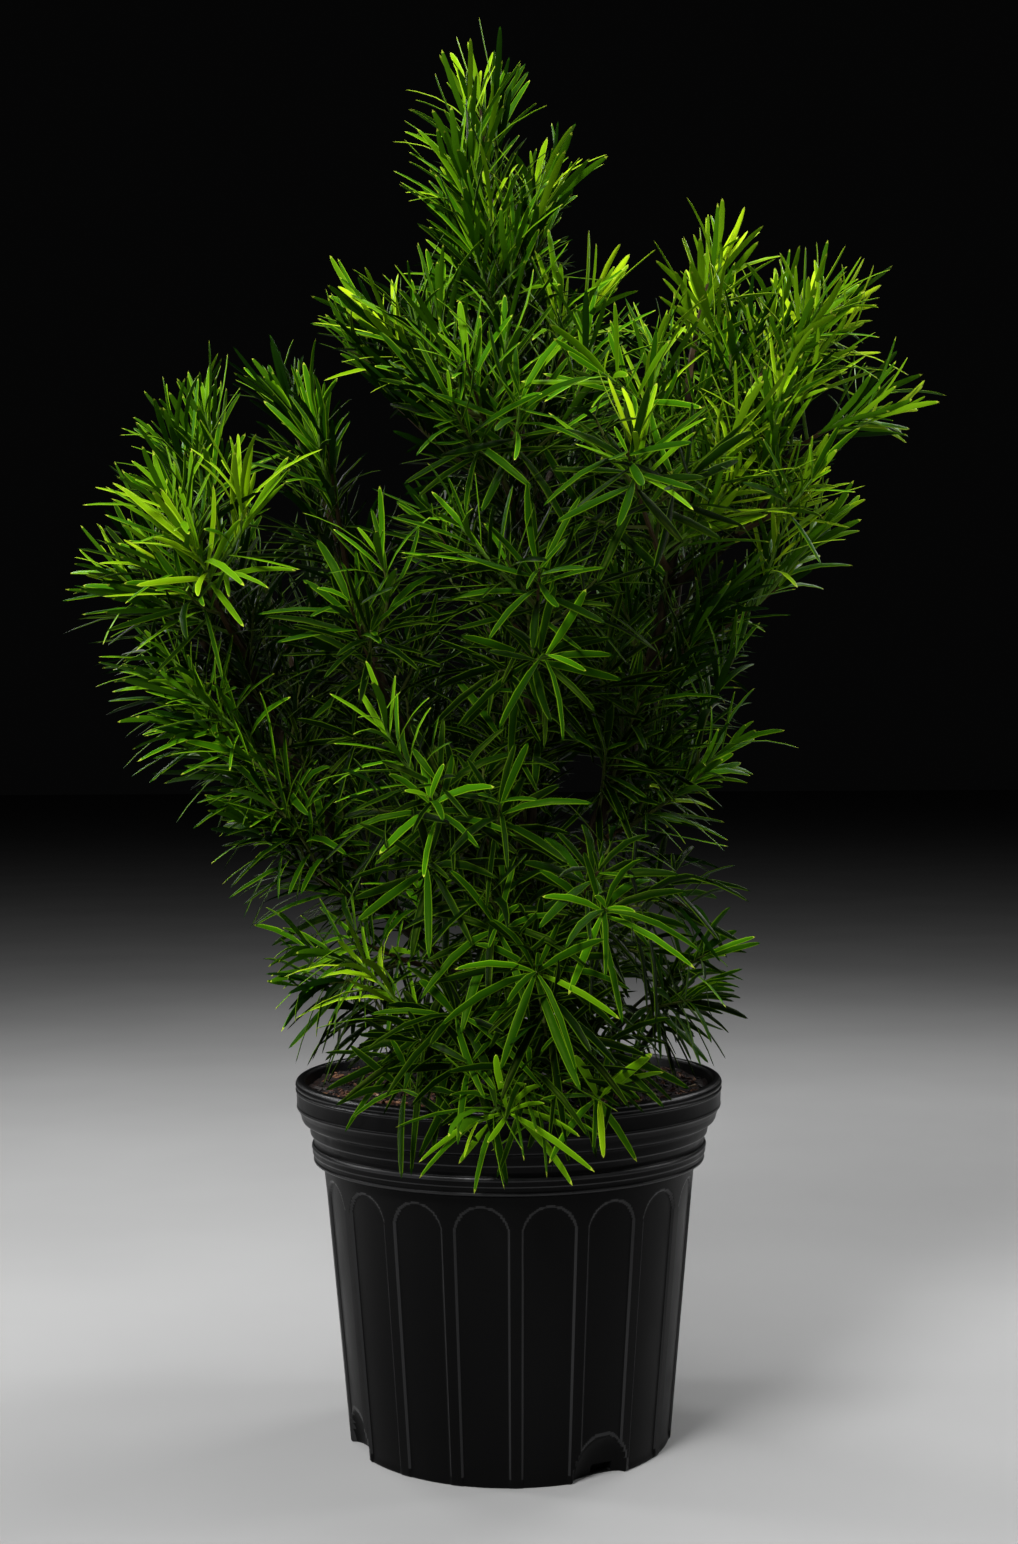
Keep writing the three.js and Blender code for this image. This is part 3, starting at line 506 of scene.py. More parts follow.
# The first seven are the tints: the dark ones stand partly for painted shade inside the crown, the light
# ones partly for painted light
LEAF_COLOURS = {
    "shade": (0.001, 0.006, 0.0002),
    "deep": (0.003, 0.014, 0.0003),
    "mid": (0.010, 0.045, 0.0006),
    "leaf": (0.032, 0.125, 0.0012),
    "fresh_and_lit": (0.078, 0.200, 0.0018),
    "bright": (0.170, 0.330, 0.0025),
    "lime": (0.360, 0.540, 0.0060),
    "under_dark": (0.005, 0.022, 0.001),
    "under_mid": (0.036, 0.110, 0.002),
    "under_pale": (0.120, 0.250, 0.004),
    # Margins are paler than their blades, partly the leaf's paler edge and partly a painted edge highlight
    "margin_dark": (0.034, 0.072, 0.002),
    "margin_dim": (0.070, 0.150, 0.003),
    "margin_mid": (0.140, 0.290, 0.006),
    "margin_pale": (0.300, 0.470, 0.015),
    "tip": (0.300, 0.390, 0.030),
}


# Meshes


def piece_from_arrays(name, points, groups, materials, sharp=40):
    """A joined mesh that rides on the plant. groups are (faces, material number of each)."""
    mesh = bpy.data.meshes.new(name)
    corners = np.concatenate([faces.ravel() for faces, _ in groups]).astype(np.int32)
    sizes = np.concatenate([np.full(len(faces), faces.shape[1]) for faces, _ in groups])
    starts = (np.cumsum(sizes) - sizes).astype(np.int32)
    numbers = np.concatenate([np.broadcast_to(number, len(faces)) for faces, number in groups])
    mesh.vertices.add(len(points))
    mesh.vertices.foreach_set("co", (points * MM).astype(np.float32).ravel())
    mesh.loops.add(len(corners))
    mesh.loops.foreach_set("vertex_index", corners)
    mesh.polygons.add(len(starts))
    mesh.polygons.foreach_set("loop_start", starts)
    mesh.polygons.foreach_set("material_index", numbers.astype(np.int32))
    for material in materials:
        mesh.materials.append(material)
    mesh.update(calc_edges=True)
    mesh.shade_smooth()
    mesh.set_sharp_from_angle(angle=math.radians(sharp))
    piece = add_object(name, mesh)
    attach(piece, "root")
    return piece


def grid_faces(rows, columns, first=0):
    """Quads of a grid that closes on itself across its columns."""
    row, column = np.meshgrid(np.arange(rows - 1), np.arange(columns), indexing="ij")
    here = first + row * columns + column
    beside = first + row * columns + (column + 1) % columns
    return np.stack([here, beside, beside + columns, here + columns], -1).reshape(-1, 4)


def cap_faces(ring, centre, outward=True):
    """Triangles from a ring of point numbers to a centre point."""
    after = np.roll(ring, -1)
    order = [after, ring] if outward else [ring, after]
    return np.stack([*order, np.full(len(ring), centre)], -1)


def relief(points, scale, stretch=1.0):
    """Noise from -1 to 1 at each point; stretch lengthens its grain upward."""
    size = np.array([scale, scale, scale * stretch])
    return np.array([noise.noise(Vector(point / size)) for point in points])


# Pot


def body_radius(height):
    return lerp(BASE_RADIUS, BODY_TOP_RADIUS, height / BODY_TOP_HEIGHT)


def panel_angle(panel):
    return FIRST_RIB_ANGLE + (panel + 0.5) * PANEL_PITCH


def pot_columns():
    """Angles round the pot in degrees, closer together at the ribs."""
    half = np.concatenate([np.linspace(0, 6.9, 11), [7.3, 7.65, 7.95, PANEL_HALF_ANGLE, 9.1]])
    offsets = np.concatenate([[-PANEL_PITCH / 2], -half[:0:-1], half])
    return np.concatenate([panel_angle(panel) + offsets for panel in range(PANEL_COUNT)])


def arch_depth(offset, height):
    """How deep a panel is, offset millimetres from its middle: a tall recess with a round top."""
    radius = body_radius(PANEL_ARCH_TOP) * math.sin(math.radians(PANEL_HALF_ANGLE))
    spring = PANEL_ARCH_TOP - radius
    straight = body_radius(height) * math.sin(math.radians(PANEL_HALF_ANGLE)) - np.abs(offset)
    arched = radius - np.hypot(offset, height - spring)
    inside = np.where(height < spring, straight, arched)
    return PANEL_DEPTH * smooth_step(0, PANEL_EDGE, inside) * smooth_step(*PANEL_RUNOUT, height)


def drain_depth(offset, height):
    """How deep a drain scoop is: a rounded bite out of the foot with a slot at its back."""
    left = 1 - (offset / DRAIN["half_width"]) ** 2 - (height / DRAIN["height"]) ** 2
    bite = DRAIN["depth"] * np.sqrt(np.clip(left, 0, 1))
    beside = np.abs(offset - DRAIN_SLOT["middle"])
    in_slot = (beside < DRAIN_SLOT["half_width"]) & (height > DRAIN_SLOT["sill"])
    return bite + np.where(in_slot & (height < DRAIN_SLOT["head"]), DRAIN_SLOT["depth"], 0)


def rounded(profile, setback=0.5, side_share=0.4, longest=4.0):
    """A profile with eased corners and no long steps."""
    profile = np.array(profile, float)
    points = [profile[0]]
    for before, corner, after in zip(profile, profile[1:], profile[2:]):
        start, end = (
            corner + unit(side) * min(setback, side_share * np.linalg.norm(side))
            for side in (before - corner, after - corner)
        )
        points += [start, 0.25 * start + 0.5 * corner + 0.25 * end, end]
    points.append(profile[-1])
    eased = [points[0]]
    for point in points[1:]:
        steps = max(1, math.ceil(np.linalg.norm(point - eased[-1]) / longest))
        start = eased[-1]
        eased += [lerp(start, point, step / steps) for step in range(1, steps + 1)]
    return np.array(eased)


# Radius and height along the collar and the rim, and then down the inside to the floor
UPPER_PROFILE = (
    (118.6, 178.6), (122.2, 180.6), (126.5, 181.8), (128.2, 182.5), (128.4, 183.6),
    (127.9, 184.6), (128.1, 186.8), (129.0, 187.6), (129.1, 190.4), (129.6, 191.5),
    (129.2, 193.1), (128.2, 193.8), (127.8, 196.6), (129.6, 199.4), (130.4, 200.4),
    (130.7, 203.4), (130.9, 206.0), (131.6, 207.2), (135.2, 208.6), (136.0, 210.2),
    (136.7, 213.4), (138.2, 216.2), (139.1, 217.2), (139.3, 218.5), (139.0, 219.4),
    (139.3, 227.3), (139.8, 228.0), (139.9, 229.0), (139.2, 229.7), (139.2, 230.3),
    (139.9, 231.0), (RIM_RADIUS, 232.4), (139.4, 234.0), (138.2, 234.9), (135.6, RIM_HEIGHT),
    (134.2, 234.8), (133.6, 233.2),
)
INNER_PROFILE = (
    (130.5, 218.0), (127.4, 203.0), (BODY_TOP_RADIUS - WALL, BODY_TOP_HEIGHT), (104.0, 90.0), (84.0, 20.0),
    (84.0, FLOOR_THICKNESS),
)
PLAIN_COLUMNS = 216
# Faces on panel and scoop edges and on ring crests get a paler, glossier plastic: a painted highlight for
# the thin lines of light along them
HIGHLIGHT_DEPTHS = (0.04, 0.75)  # shares of the panels' depth between which their edges get the painted highlight
HIGHLIGHT_SCOOP = (0.98, 1.06)  # shares of a drain scoop's size between which its edge gets the painted highlight
# How sharply the profile bends at a crest that gets the painted highlight
HIGHLIGHT_BEND = math.radians(7)


def body_heights():
    """Rows of the fluted wall: fine at the foot and the arches, coarse between."""
    foot = np.concatenate([[0, 0.5, 1.3], np.arange(2.4, 29, 1.1)])
    straight = np.array([33, 40, 50, 63, 78, 94, 110, 126, 140, 150])
    return np.concatenate([foot, straight, np.arange(154, 176.5, 1.0), [178, 180.8]])


def wall_grid(columns):
    """The fluted wall's heights, angles, plain radii and panel depths, row by row."""
    heights, angles = np.meshgrid(body_heights(), columns, indexing="ij")
    radius = body_radius(heights)
    away = (angles - FIRST_RIB_ANGLE) % PANEL_PITCH - PANEL_PITCH / 2
    return heights, angles, radius, arch_depth(np.radians(away) * radius, heights)


def scoop_offsets(angles, radius):
    """For each drain scoop in turn, how far round the wall points are from its middle."""
    for panel in DRAIN_PANELS:
        yield np.radians((angles - panel_angle(panel) + 180) % 360 - 180) * radius


def fluted_wall(columns):
    """Points of the wall with its panels and drain scoops, row by row."""
    heights, angles, radius, depth = wall_grid(columns)
    for offset in scoop_offsets(angles, radius):
        depth = np.maximum(depth, drain_depth(offset, heights))
    foot_ease = FOOT_EDGE["inset"] * np.clip(1 - heights / FOOT_EDGE["height"], 0, 1) ** 2
    return around(radius - depth - foot_ease, heights, angles)


def around(radius, heights, angles):
    """Points at radii, heights and angles in degrees, counted from the front towards the right."""
    turn = np.radians(angles)
    return np.stack([radius * np.sin(turn), -radius * np.cos(turn), heights], -1).reshape(-1, 3)


def turned_rows(profile, columns):
    """Points of a profile turned round the pot, with the nicks pressed in."""
    radius, angles = np.meshgrid(profile[:, 0], columns, indexing="ij")
    heights = np.repeat(profile[:, 1:], len(columns), axis=1)
    for angle, height, half_width, half_height, depth in NICKS:
        across = np.radians(angles - 360 * np.round((angles - angle) / 360) - angle) * radius
        press = np.exp(-((across / half_width) ** 2) - ((heights - height) / half_height) ** 2)
        radius = radius - depth * press * (radius > NICKED_RADIUS)
    return around(radius, heights, angles)


def painted_highlight_wall(columns):
    """For each face of the wall, whether it lies on the edge of a panel or a drain scoop, where a highlight
    is painted.
    """
    heights, angles, radius, depth = wall_grid(columns)
    beside = np.roll(depth, -1, axis=1)
    middle = (depth[:-1] + depth[1:] + beside[:-1] + beside[1:]) / 4
    low, high = (share * PANEL_DEPTH for share in HIGHLIGHT_DEPTHS)
    highlit = (middle > low) & (middle < high) & (heights[:-1] > PANEL_RUNOUT[1])
    for offset in scoop_offsets(angles, radius):
        out = np.hypot(offset / DRAIN["half_width"], heights / DRAIN["height"])[:-1]
        highlit = np.where(out < HIGHLIGHT_SCOOP[1], out > HIGHLIGHT_SCOOP[0], highlit)
    return highlit.ravel().astype(int)


def painted_highlight_rings(profile):
    """For each face of the upper wall, whether it lies on an edge that stands out, where a highlight is
    painted.
    """
    along = np.diff(profile, axis=0)
    headings = np.unwrap(np.arctan2(along[:, 1], along[:, 0]))
    bends = np.diff(headings, prepend=headings[:1], append=headings[-1:])
    highlit = (bends[:-1] > HIGHLIGHT_BEND) & (bends[1:] > HIGHLIGHT_BEND)
    return np.repeat(highlit, PLAIN_COLUMNS).astype(int)


def make_pot():
    columns = pot_columns()
    wall = fluted_wall(columns)
    ring = np.arange(len(columns))
    plain = np.linspace(0, 360, PLAIN_COLUMNS, endpoint=False)
    profile = np.concatenate([rounded(UPPER_PROFILE), INNER_PROFILE])
    upper = turned_rows(profile, plain)
    plain_ring = len(wall) + np.arange(PLAIN_COLUMNS)
    points = np.concatenate([wall, upper, [[0, 0, 0], [0, 0, FLOOR_THICKNESS]]])
    last_ring = plain_ring + (len(profile) - 1) * PLAIN_COLUMNS
    groups = [
        (grid_faces(len(body_heights()), len(columns)), painted_highlight_wall(columns)),
        (grid_faces(len(profile), PLAIN_COLUMNS, len(wall)), painted_highlight_rings(profile)),
        (cap_faces(ring, len(points) - 2), 0),
        (cap_faces(last_ring, len(points) - 1, outward=False), 0),
    ]
    materials = [
        pot_material("pot_plastic", shade=0.0011, gloss=0.07),
        pot_material("pot_painted_highlight", shade=0.0065, gloss=0.30),  # painted highlight: paler and glossier plastic along the edges
    ]
    pot = piece_from_arrays("pot_shell", points, groups, materials, sharp=32)
    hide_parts("pot")


# Soil


def soil_height(x, y):
    """Height of the soil's crumbled surface, higher round the trunk."""
    place = Vector((x / SOIL_SWELL_SIZE, y / SOIL_SWELL_SIZE, 0))
    swell = sum(height * noise.noise(place * finer) for height, finer in SOIL_SWELLS)
    return SOIL_TOP + swell + MOUND_HEIGHT * math.exp(-(x * x + y * y) / MOUND_SPREAD**2)


def make_soil():
    rings, columns = SOIL_GRID
    radii = SOIL_RADIUS * np.linspace(1, 0.01, rings)
    radius, turn = np.meshgrid(radii, np.linspace(0, 2 * math.pi, columns, endpoint=False), indexing="ij")
    flat = np.stack([radius * np.cos(turn), radius * np.sin(turn)], -1).reshape(-1, 2)
    heights = np.array([soil_height(x, y) for x, y in flat])
    heights += sum(height * relief(np.c_[flat, heights], size) for height, size in SOIL_CRUMBS)
    top = np.c_[flat, heights]
    skirt = top[:columns] * (1, 1, 0) + (0, 0, SOIL_TOP - SOIL_SKIRT)
    middles = [[0, 0, SOIL_TOP + MOUND_HEIGHT], [0, 0, SOIL_TOP - SOIL_SKIRT]]
    points = np.concatenate([skirt, top, middles])
    ring = np.arange(columns)
    groups = [
        (grid_faces(rings + 1, columns), 0),
        (cap_faces(ring + rings * columns, len(points) - 2, outward=False), 0),
        (cap_faces(ring, len(points) - 1), 0),
    ]
    soil = piece_from_arrays("potting_soil", points, groups, [soil_material()], sharp=70)
    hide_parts("soil")


CHIP_CORNERS = np.array([[x, y, z] for x in (-1, 1) for y in (-1, 1) for z in (-1, 1)], float)
CHIP_FACES = np.array([[0, 1, 3, 2], [4, 6, 7, 5], [0, 4, 5, 1], [2, 3, 7, 6], [0, 2, 6, 4], [1, 5, 7, 3]])
CHIP_COLOURS = {
    "chip_dark": (0.006, 0.003, 0.002),
    "chip_red": (0.060, 0.020, 0.008),
    "chip_tan": (0.170, 0.074, 0.030),
    "chip_pale": (0.340, 0.240, 0.150),
}
CHIP_SHARES = (0.58, 0.27, 0.12, 0.03)
CHIP_COUNT = 2400
CHIP_SEED = 7
CHIP_MARGIN = 5  # left free along the pot's wall
CHIP_LIFT = 0.7
CHIP_TIP, CHIP_ROLL = 0.28, 0.5  # in radians, as normal spreads
CHIP_HALF_LENGTHS = (2.5, 0.55)  # shape and scale of the gamma rule that spreads them
CHIP_LEAST = 0.7
CHIP_HALF_WIDTHS = (0.4, 1.2)
CHIP_HALF_HEIGHTS = (0.25, 0.7)
CHIP_CORNER_SHARES = (0.6, 1.15)


def make_chips():
    """Slivers of bark and wood that lie in the soil, any way round and tipped a little from flat."""
    random = np.random.default_rng(CHIP_SEED)
    points, numbers = [], []
    for _ in range(CHIP_COUNT):
        radius = (SOIL_RADIUS - CHIP_MARGIN) * math.sqrt(random.uniform(0.01, 1))
        turn = random.uniform(0, 2 * math.pi)
        x, y = radius * math.cos(turn), radius * math.sin(turn)
        half_length = random.gamma(*CHIP_HALF_LENGTHS) + CHIP_LEAST
        half = (half_length, random.uniform(*CHIP_HALF_WIDTHS), random.uniform(*CHIP_HALF_HEIGHTS))
        corners = CHIP_CORNERS * half * random.uniform(*CHIP_CORNER_SHARES, (8, 3))
        spin = random.uniform(0, 2 * math.pi)
        tip, roll = random.normal(0, CHIP_TIP), random.normal(0, CHIP_ROLL)
        turned = corners @ np.array(Euler((roll, tip, spin)).to_matrix()).T
        points.append(turned + (x, y, soil_height(x, y) + CHIP_LIFT))
        numbers.append(random.choice(len(CHIP_SHARES), p=CHIP_SHARES))
    faces = (CHIP_FACES + 8 * np.arange(CHIP_COUNT)[:, None, None]).reshape(-1, 4)
    materials = [chip_material(name, colour) for name, colour in CHIP_COLOURS.items()]
    groups = [(faces, np.repeat(numbers, len(CHIP_FACES)))]
    piece_from_arrays("soil_chips", np.concatenate(points), groups, materials, sharp=30)


# Paths of the limbs and stems


class Path:
    """A line read by its share of length."""

    def __init__(self, points):
        self.points = np.asarray(points, float)
        steps = np.linalg.norm(np.diff(self.points, axis=0), axis=1)
        self.run = np.concatenate([[0], np.cumsum(steps)])
        self.length = self.run[-1]

    def at(self, share):
        return np.array([np.interp(share * self.length, self.run, axis) for axis in self.points.T])

    def tangent(self, share):
        return unit(self.at(min(share + 0.01, 1)) - self.at(max(share - 0.01, 0)))

    def share_at_height(self, height):
        shares = np.linspace(0, 1, 201)
        heights = np.interp(shares * self.length, self.run, self.points[:, 2])
        return shares[np.argmin(np.abs(heights - height))]

    def sampled(self, count):
        return np.array([self.at(share) for share in np.linspace(0, 1, count)])


def bezier(root, control, tip, count=40):
    share = np.linspace(0, 1, count)[:, None]
    return Path((1 - share) ** 2 * root + 2 * share * (1 - share) * control + share**2 * tip)


def centripetal_spline(knots, steps=40):
    """A Catmull-Rom line through knots, paced by the root of their distance."""
    knots = np.array(knots, float)
    ends = [2 * knots[0] - knots[1], *knots, 2 * knots[-1] - knots[-2]]
    points = []
    for a, b, c, d in zip(ends, ends[1:], ends[2:], ends[3:]):
        ab, bc, cd = (math.sqrt(np.linalg.norm(q - p)) for p, q in ((a, b), (b, c), (c, d)))
        out = ((b - a) / ab - (c - a) / (ab + bc) + (c - b) / bc) * bc
        into = ((c - b) / bc - (d - b) / (bc + cd) + (d - c) / cd) * bc
        t = np.linspace(0, 1, steps, endpoint=False)[:, None]
        cubic = (2 * b - 2 * c + out + into) * t**3 + (3 * c - 3 * b - 2 * out - into) * t**2
        points.append(cubic + out * t + b)
    return Path(np.concatenate([*points, knots[-1:]]))


def trunk_radius(share, path):
    foot = path.share_at_height(SOIL_TOP)
    above = np.maximum(0, share - foot) * path.length
    flare = (TRUNK_FOOT_RADIUS - TRUNK_RADIUS) * np.exp(-above / FLARE_FADE)
    return lerp(TRUNK_RADIUS, TRUNK_TIP_RADIUS, share) + flare


def grow_limbs():
    """Each limb's path and its radius along 0 to 1, by name."""
    trunk = centripetal_spline(TRUNK_AXIS)
    limbs = {"trunk": (trunk, lambda share: trunk_radius(share, trunk))}
    for name, parent, height, tip, bow, radii in BOUGHS:
        stem = limbs[parent][0]
        root, tip = stem.at(stem.share_at_height(height)), np.array(tip, float)
        path = bezier(root, (root + tip) / 2 + 2 * np.array(bow, float), tip, 80)
        limbs[name] = (path, lambda share, radii=radii: lerp(*radii, share))
    return limbs


def stem_path(limb, height, bud):
    """A mass's stem, from its limb to just short of its bud, and its foot radius."""
    path, radius = limb
    at_tip = height == "tip"
    share = 1 if at_tip else path.share_at_height(height)
    root, bud = path.at(share), np.array(bud, float)
    end = bud + unit(root - bud) * BUD_SETBACK
    length = np.linalg.norm(end - root)
    middle = (root + end) / 2
    if at_tip:
        control = lerp(root + path.tangent(1) * length * STEM_LEAD, middle, STEM_EASE)
    else:
        rises_little = end[2] - root[2] < LEVEL_RISE * length
        control = middle + UP * length * (STEM_ARCH if rises_little else STEM_SAG)
    return bezier(root, control, end), radius(1) if at_tip else STEM_RADIUS


# Room for foliage


def photo_places(points):
    """Where points show in the photograph, in its pixels."""
    away = points - np.array(CAMERA_PLACE)
    scale = FOCAL_PIXELS / away[:, 1]
    across, up = away @ CAMERA_ACROSS * scale, away @ CAMERA_UP * scale
    return np.stack([PHOTO_SIZE[0] / 2 + across, PHOTO_SIZE[1] / 2 - up], -1)


def place_at(x, y, depth):
    """The point at a depth that shows at a place in the photograph."""
    scale = (depth - CAMERA_PLACE[1]) / FOCAL_PIXELS
    across, up = (x - PHOTO_SIZE[0] / 2) * scale, (PHOTO_SIZE[1] / 2 - y) * scale
    return (CAMERA_PLACE[0], depth, CAMERA_PLACE[2]) + across * CAMERA_ACROSS + up * CAMERA_UP


def in_outline(places):
    """Whether each place lies inside the outline and outside its gaps."""
    x, y = places[:, :1], places[:, 1:]
    (x1, y1), (x2, y2) = OUTLINE.T, np.roll(OUTLINE, -1, axis=0).T
    crossed = ((y1 > y) != (y2 > y)) & (x < x1 + (y - y1) * (x2 - x1) / (y2 - y1))
    gap_x, gap_y, half_width, half_height = SKY_GAPS.T
    in_gap = ((x - gap_x) / half_width) ** 2 + ((y - gap_y) / half_height) ** 2 < 1
    return (crossed.sum(1) % 2 == 1) & ~in_gap.any(1)


def seen_path(own_room, x, y, depth, heading, spread):
    """The twig of a shoot, from the nearest stem of its region to a bud at a place in the photograph."""
    bud, heading = place_at(x, y, depth), math.radians(heading)
    away = unit(np.array(CAMERA_PLACE) - bud)
    direction = unit(np.array([math.sin(heading), 0, math.cos(heading)]) * (1 - spread) + away * spread)
    root = own_room.nearest(bud - direction * SHOOT_REACH)
    middle = bud - direction * 0.5 * np.linalg.norm(bud - root)
    return bezier(root, middle, bud, TWIG_POINTS)


class Room:
    """Where foliage may grow: near the stems, inside the outline, and clear of the limbs and the pot."""

    def __init__(self, limbs, stems):
        lines = [path.sampled(LIMB_SAMPLES) for path, _ in limbs.values()]
        lines += [path.sampled(STEM_SAMPLES) for path, _ in stems]
        self.starts = np.concatenate([line[:-1] for line in lines])
        self.along = np.concatenate([np.diff(line, axis=0) for line in lines])
        shares = np.linspace(0, 1, LIMB_SAMPLES - 1)
        self.limb_radii = np.concatenate([radius(shares) for _, radius in limbs.values()])

    def offsets(self, points):
        """From each stretch of stem and limb, the shortest way to each point."""
        away = points[:, None] - self.starts
        share = np.clip((away * self.along).sum(-1) / (self.along * self.along).sum(-1), 0, 1)
        return away - share[..., None] * self.along

    def nearest(self, point):
        """The point on a stem or limb nearest to a point."""
        offsets = self.offsets(point[None])[0]
        return point - offsets[np.linalg.norm(offsets, axis=1).argmin()]

    def has(self, points, reach):
        """Whether the points all lie in reach, in the outline and clear of the limbs and the pot."""
        if not in_outline(photo_places(points)).all():
            return False
        distances = np.linalg.norm(self.offsets(points), axis=-1)
        if (distances.min(1) > reach).any():
            return False
        if (distances[:, : len(self.limb_radii)] < self.limb_radii + LIMB_GAP).any():
            return False
        radius, height = np.hypot(points[:, 0], points[:, 1]), points[:, 2]
        over_rim = (height > RIM_HEIGHT + RIM_GAP) | (radius > RIM_RADIUS + RIM_GAP)
        over_soil = (radius < SOIL_RADIUS - WALL_GAP) & (height > SOIL_TOP + SOIL_GAP)
        return bool((over_rim | over_soil).all())


# Twigs and leaves


def branch_direction(axis, turn, angle):
    """A direction at an angle to an axis, turned about it."""
    side = np.array([0.0, 1.0, 0.0]) if abs(axis[0]) > 0.8 else np.array([1.0, 0.0, 0.0])
    side = unit(np.cross(side, axis))
    side = side * math.cos(turn) + np.cross(axis, side) * math.sin(turn)
    return axis * math.cos(angle) + side * math.sin(angle)


class Foliage:
    """Collects the leaves and twigs of one region as they grow."""

    def __init__(self, room, fineness=1.0):
        self.room = room
        self.fineness = fineness
        self.leaves = []
        self.twigs = []

    def add_leaf(self, root, axis, turn, angle, length, width, tint, reach, random):
        """Adds a leaf if there is room for it, and tells whether it did."""
        low = 1 - smooth_step(*DROOP_HEIGHTS, root[2])
        droop = lerp(*LEAF_DROOPS, low) * length * random.uniform(*DROOP_SHARES)
        direction = unit(branch_direction(axis, turn, angle) + lerp(*LEAF_LIFTS, low) * UP)
        probes = root + direction * length * LEAF_PROBES - UP * droop * LEAF_PROBES**2
        if not self.room.has(probes, reach):
            return False
        upper = unit(axis - direction * (axis @ direction))
        curl = length * random.normal(lerp(*LEAF_CURLS, low), CURL_SPREAD)
        sway = length * random.normal(0, SWAY_SPREAD)
        width *= random.uniform(*LEAF_WIDTH_SHARES) * min(1, lerp(LEAST_WIDTH, 1, length / SHORT_LEAF))
        self.leaves.append((*root, *direction, *upper, length, width, curl, sway, droop, tint))
        return True

    def add_shoot(self, path, foot_radius, fresh_and_lit, spread, random):
        """Adds a twig and its spiral of leaves: wide low down, upright and short at the bud."""
        self.twigs.append((path, foot_radius, fresh_and_lit))
        low_angle, tip_angle = lerp(*LOW_LEAF_ANGLES, spread), lerp(*TIP_LEAF_ANGLES, spread)
        reach = lerp(*REACHES, spread)
        bare = max(lerp(*BARE_SHARES, spread), 1 - LEAFY_LENGTH / path.length)
        pitch = lerp(*LEAF_PITCHES, spread) / self.fineness
        count = max(LEAST_LEAVES, round((1 - bare) * path.length / pitch))
        width = lerp(*LEAF_WIDTHS, spread) / self.fineness
        first_turn = random.uniform(0, 2 * math.pi)
        fresh_and_lit += random.normal(0, FRESH_AND_LIT_SPREAD)
        for step in range(count):
            ripe = step / (count - 1)
            share = lerp(bare, 1, ripe ** lerp(*CROWDINGS, spread))
            root, axis = path.at(share), path.tangent(share)
            angle = lerp(low_angle, tip_angle, ripe**1.5) + random.normal(0, LEAF_ANGLE_SPREAD)
            length = lerp(lerp(*LEAF_LENGTHS, spread), TIP_LEAF_LENGTH, ripe**2)
            length *= random.uniform(*LEAF_LENGTH_SHARES)
            if step >= count - BUD_LEAVES:
                length *= random.uniform(*BUD_LEAF_SHARES)
            tint = self.tint(fresh_and_lit, ripe, random)
            for attempt in range(LEAF_TRIES):
                turn = first_turn + (step + LEAF_TRY_TURN * attempt) * GOLDEN_ANGLE
                if self.add_leaf(root, axis, turn, angle, length, width, tint, reach, random):
                    break

    def tint(self, fresh_and_lit, ripe, random):
        """The number of a leaf's tint: its own green, lighter as painted light and darker as painted shade,
        and fresher towards the bud.
        """
        level = fresh_and_lit * TINT_STEPS["fresh_and_lit"] + TINT_STEPS["ripe"] * (ripe - TINT_STEPS["middle"])
        level += random.normal(0, TINT_STEPS["spread"])
        return int(np.clip(round(level), 0, len(TINTS) - 1))

    def add_twigs(self, path, spacing, length, fresh_and_lit, spread, random, stretch=TWIG_STRETCH):
        """Adds side twigs up a path, each where there is room for it."""
        first, last = stretch
        count = max(2, round((last - first) * path.length / spacing))
        first_turn = random.uniform(0, 2 * math.pi)
        for number in range(count):
            share = lerp(first, last, (number + random.uniform(-TWIG_STAGGER, TWIG_STAGGER)) / count)
            share = np.clip(share, *TWIG_LIMITS)
            root, axis = path.at(share), path.tangent(share)
            for attempt in range(TWIG_TRIES):
                turn = first_turn + (number + attempt) * GOLDEN_ANGLE
                angle = lerp(*TWIG_ANGLES, spread) + random.normal(0, TWIG_ANGLE_SPREAD)
                direction = branch_direction(axis, turn, angle)
                extent = length * random.uniform(*TWIG_LENGTH_SHARES)
                extent *= (1 - TWIG_TRY_LOSS * attempt) * (1 - TWIG_TIP_LOSS * share)
                end = root + unit(direction + lerp(*TWIG_LIFTS, spread) * UP) * extent
                middle = root + direction * extent * 0.5
                bud_leaf = end + unit(end - middle) * TIP_LEAF_LENGTH * BUD_LEAF_SHARES[1]
                if self.room.has(np.array([lerp(root, end, 0.6), end, bud_leaf]), lerp(*REACHES, spread)):
                    twig = bezier(root, middle, end, TWIG_POINTS)
                    self.add_shoot(twig, TWIG_RADIUS, fresh_and_lit, spread, random)
                    break


def leaf_points(leaves, form):
    """Points of every leaf: five round the blade at each station, then the tip."""
    root, direction, upper = leaves[:, 0:3], leaves[:, 3:6], leaves[:, 6:9]
    length, width, curl, sway, droop = (leaves[:, [column]] for column in range(9, 14))
    across = np.cross(direction, upper)

    def centre(share):
        bend = across * sway - upper * curl - UP * droop
        return root + direction * length * share + bend * share**2

    rings = []
    for share, part in form:
        along = centre(share + 0.02) - centre(share)
        normal = np.cross(across, along)
        normal /= np.linalg.norm(normal, axis=1, keepdims=True)
        half = width * part / 2
        blade = np.maximum(half - MARGIN_WIDTH, LEAST_BLADE * half)
        middle = centre(share)
        rings += [
            middle - across * half - normal * MARGIN_DROP * half,
            middle - across * blade + normal * BLADE_RISE,
            middle + across * blade + normal * BLADE_RISE,
            middle + across * half - normal * MARGIN_DROP * half,
            middle - normal * (KEEL["depth"] + KEEL["share"] * half),
        ]
    return np.stack([*rings, centre(1.0)], 1)


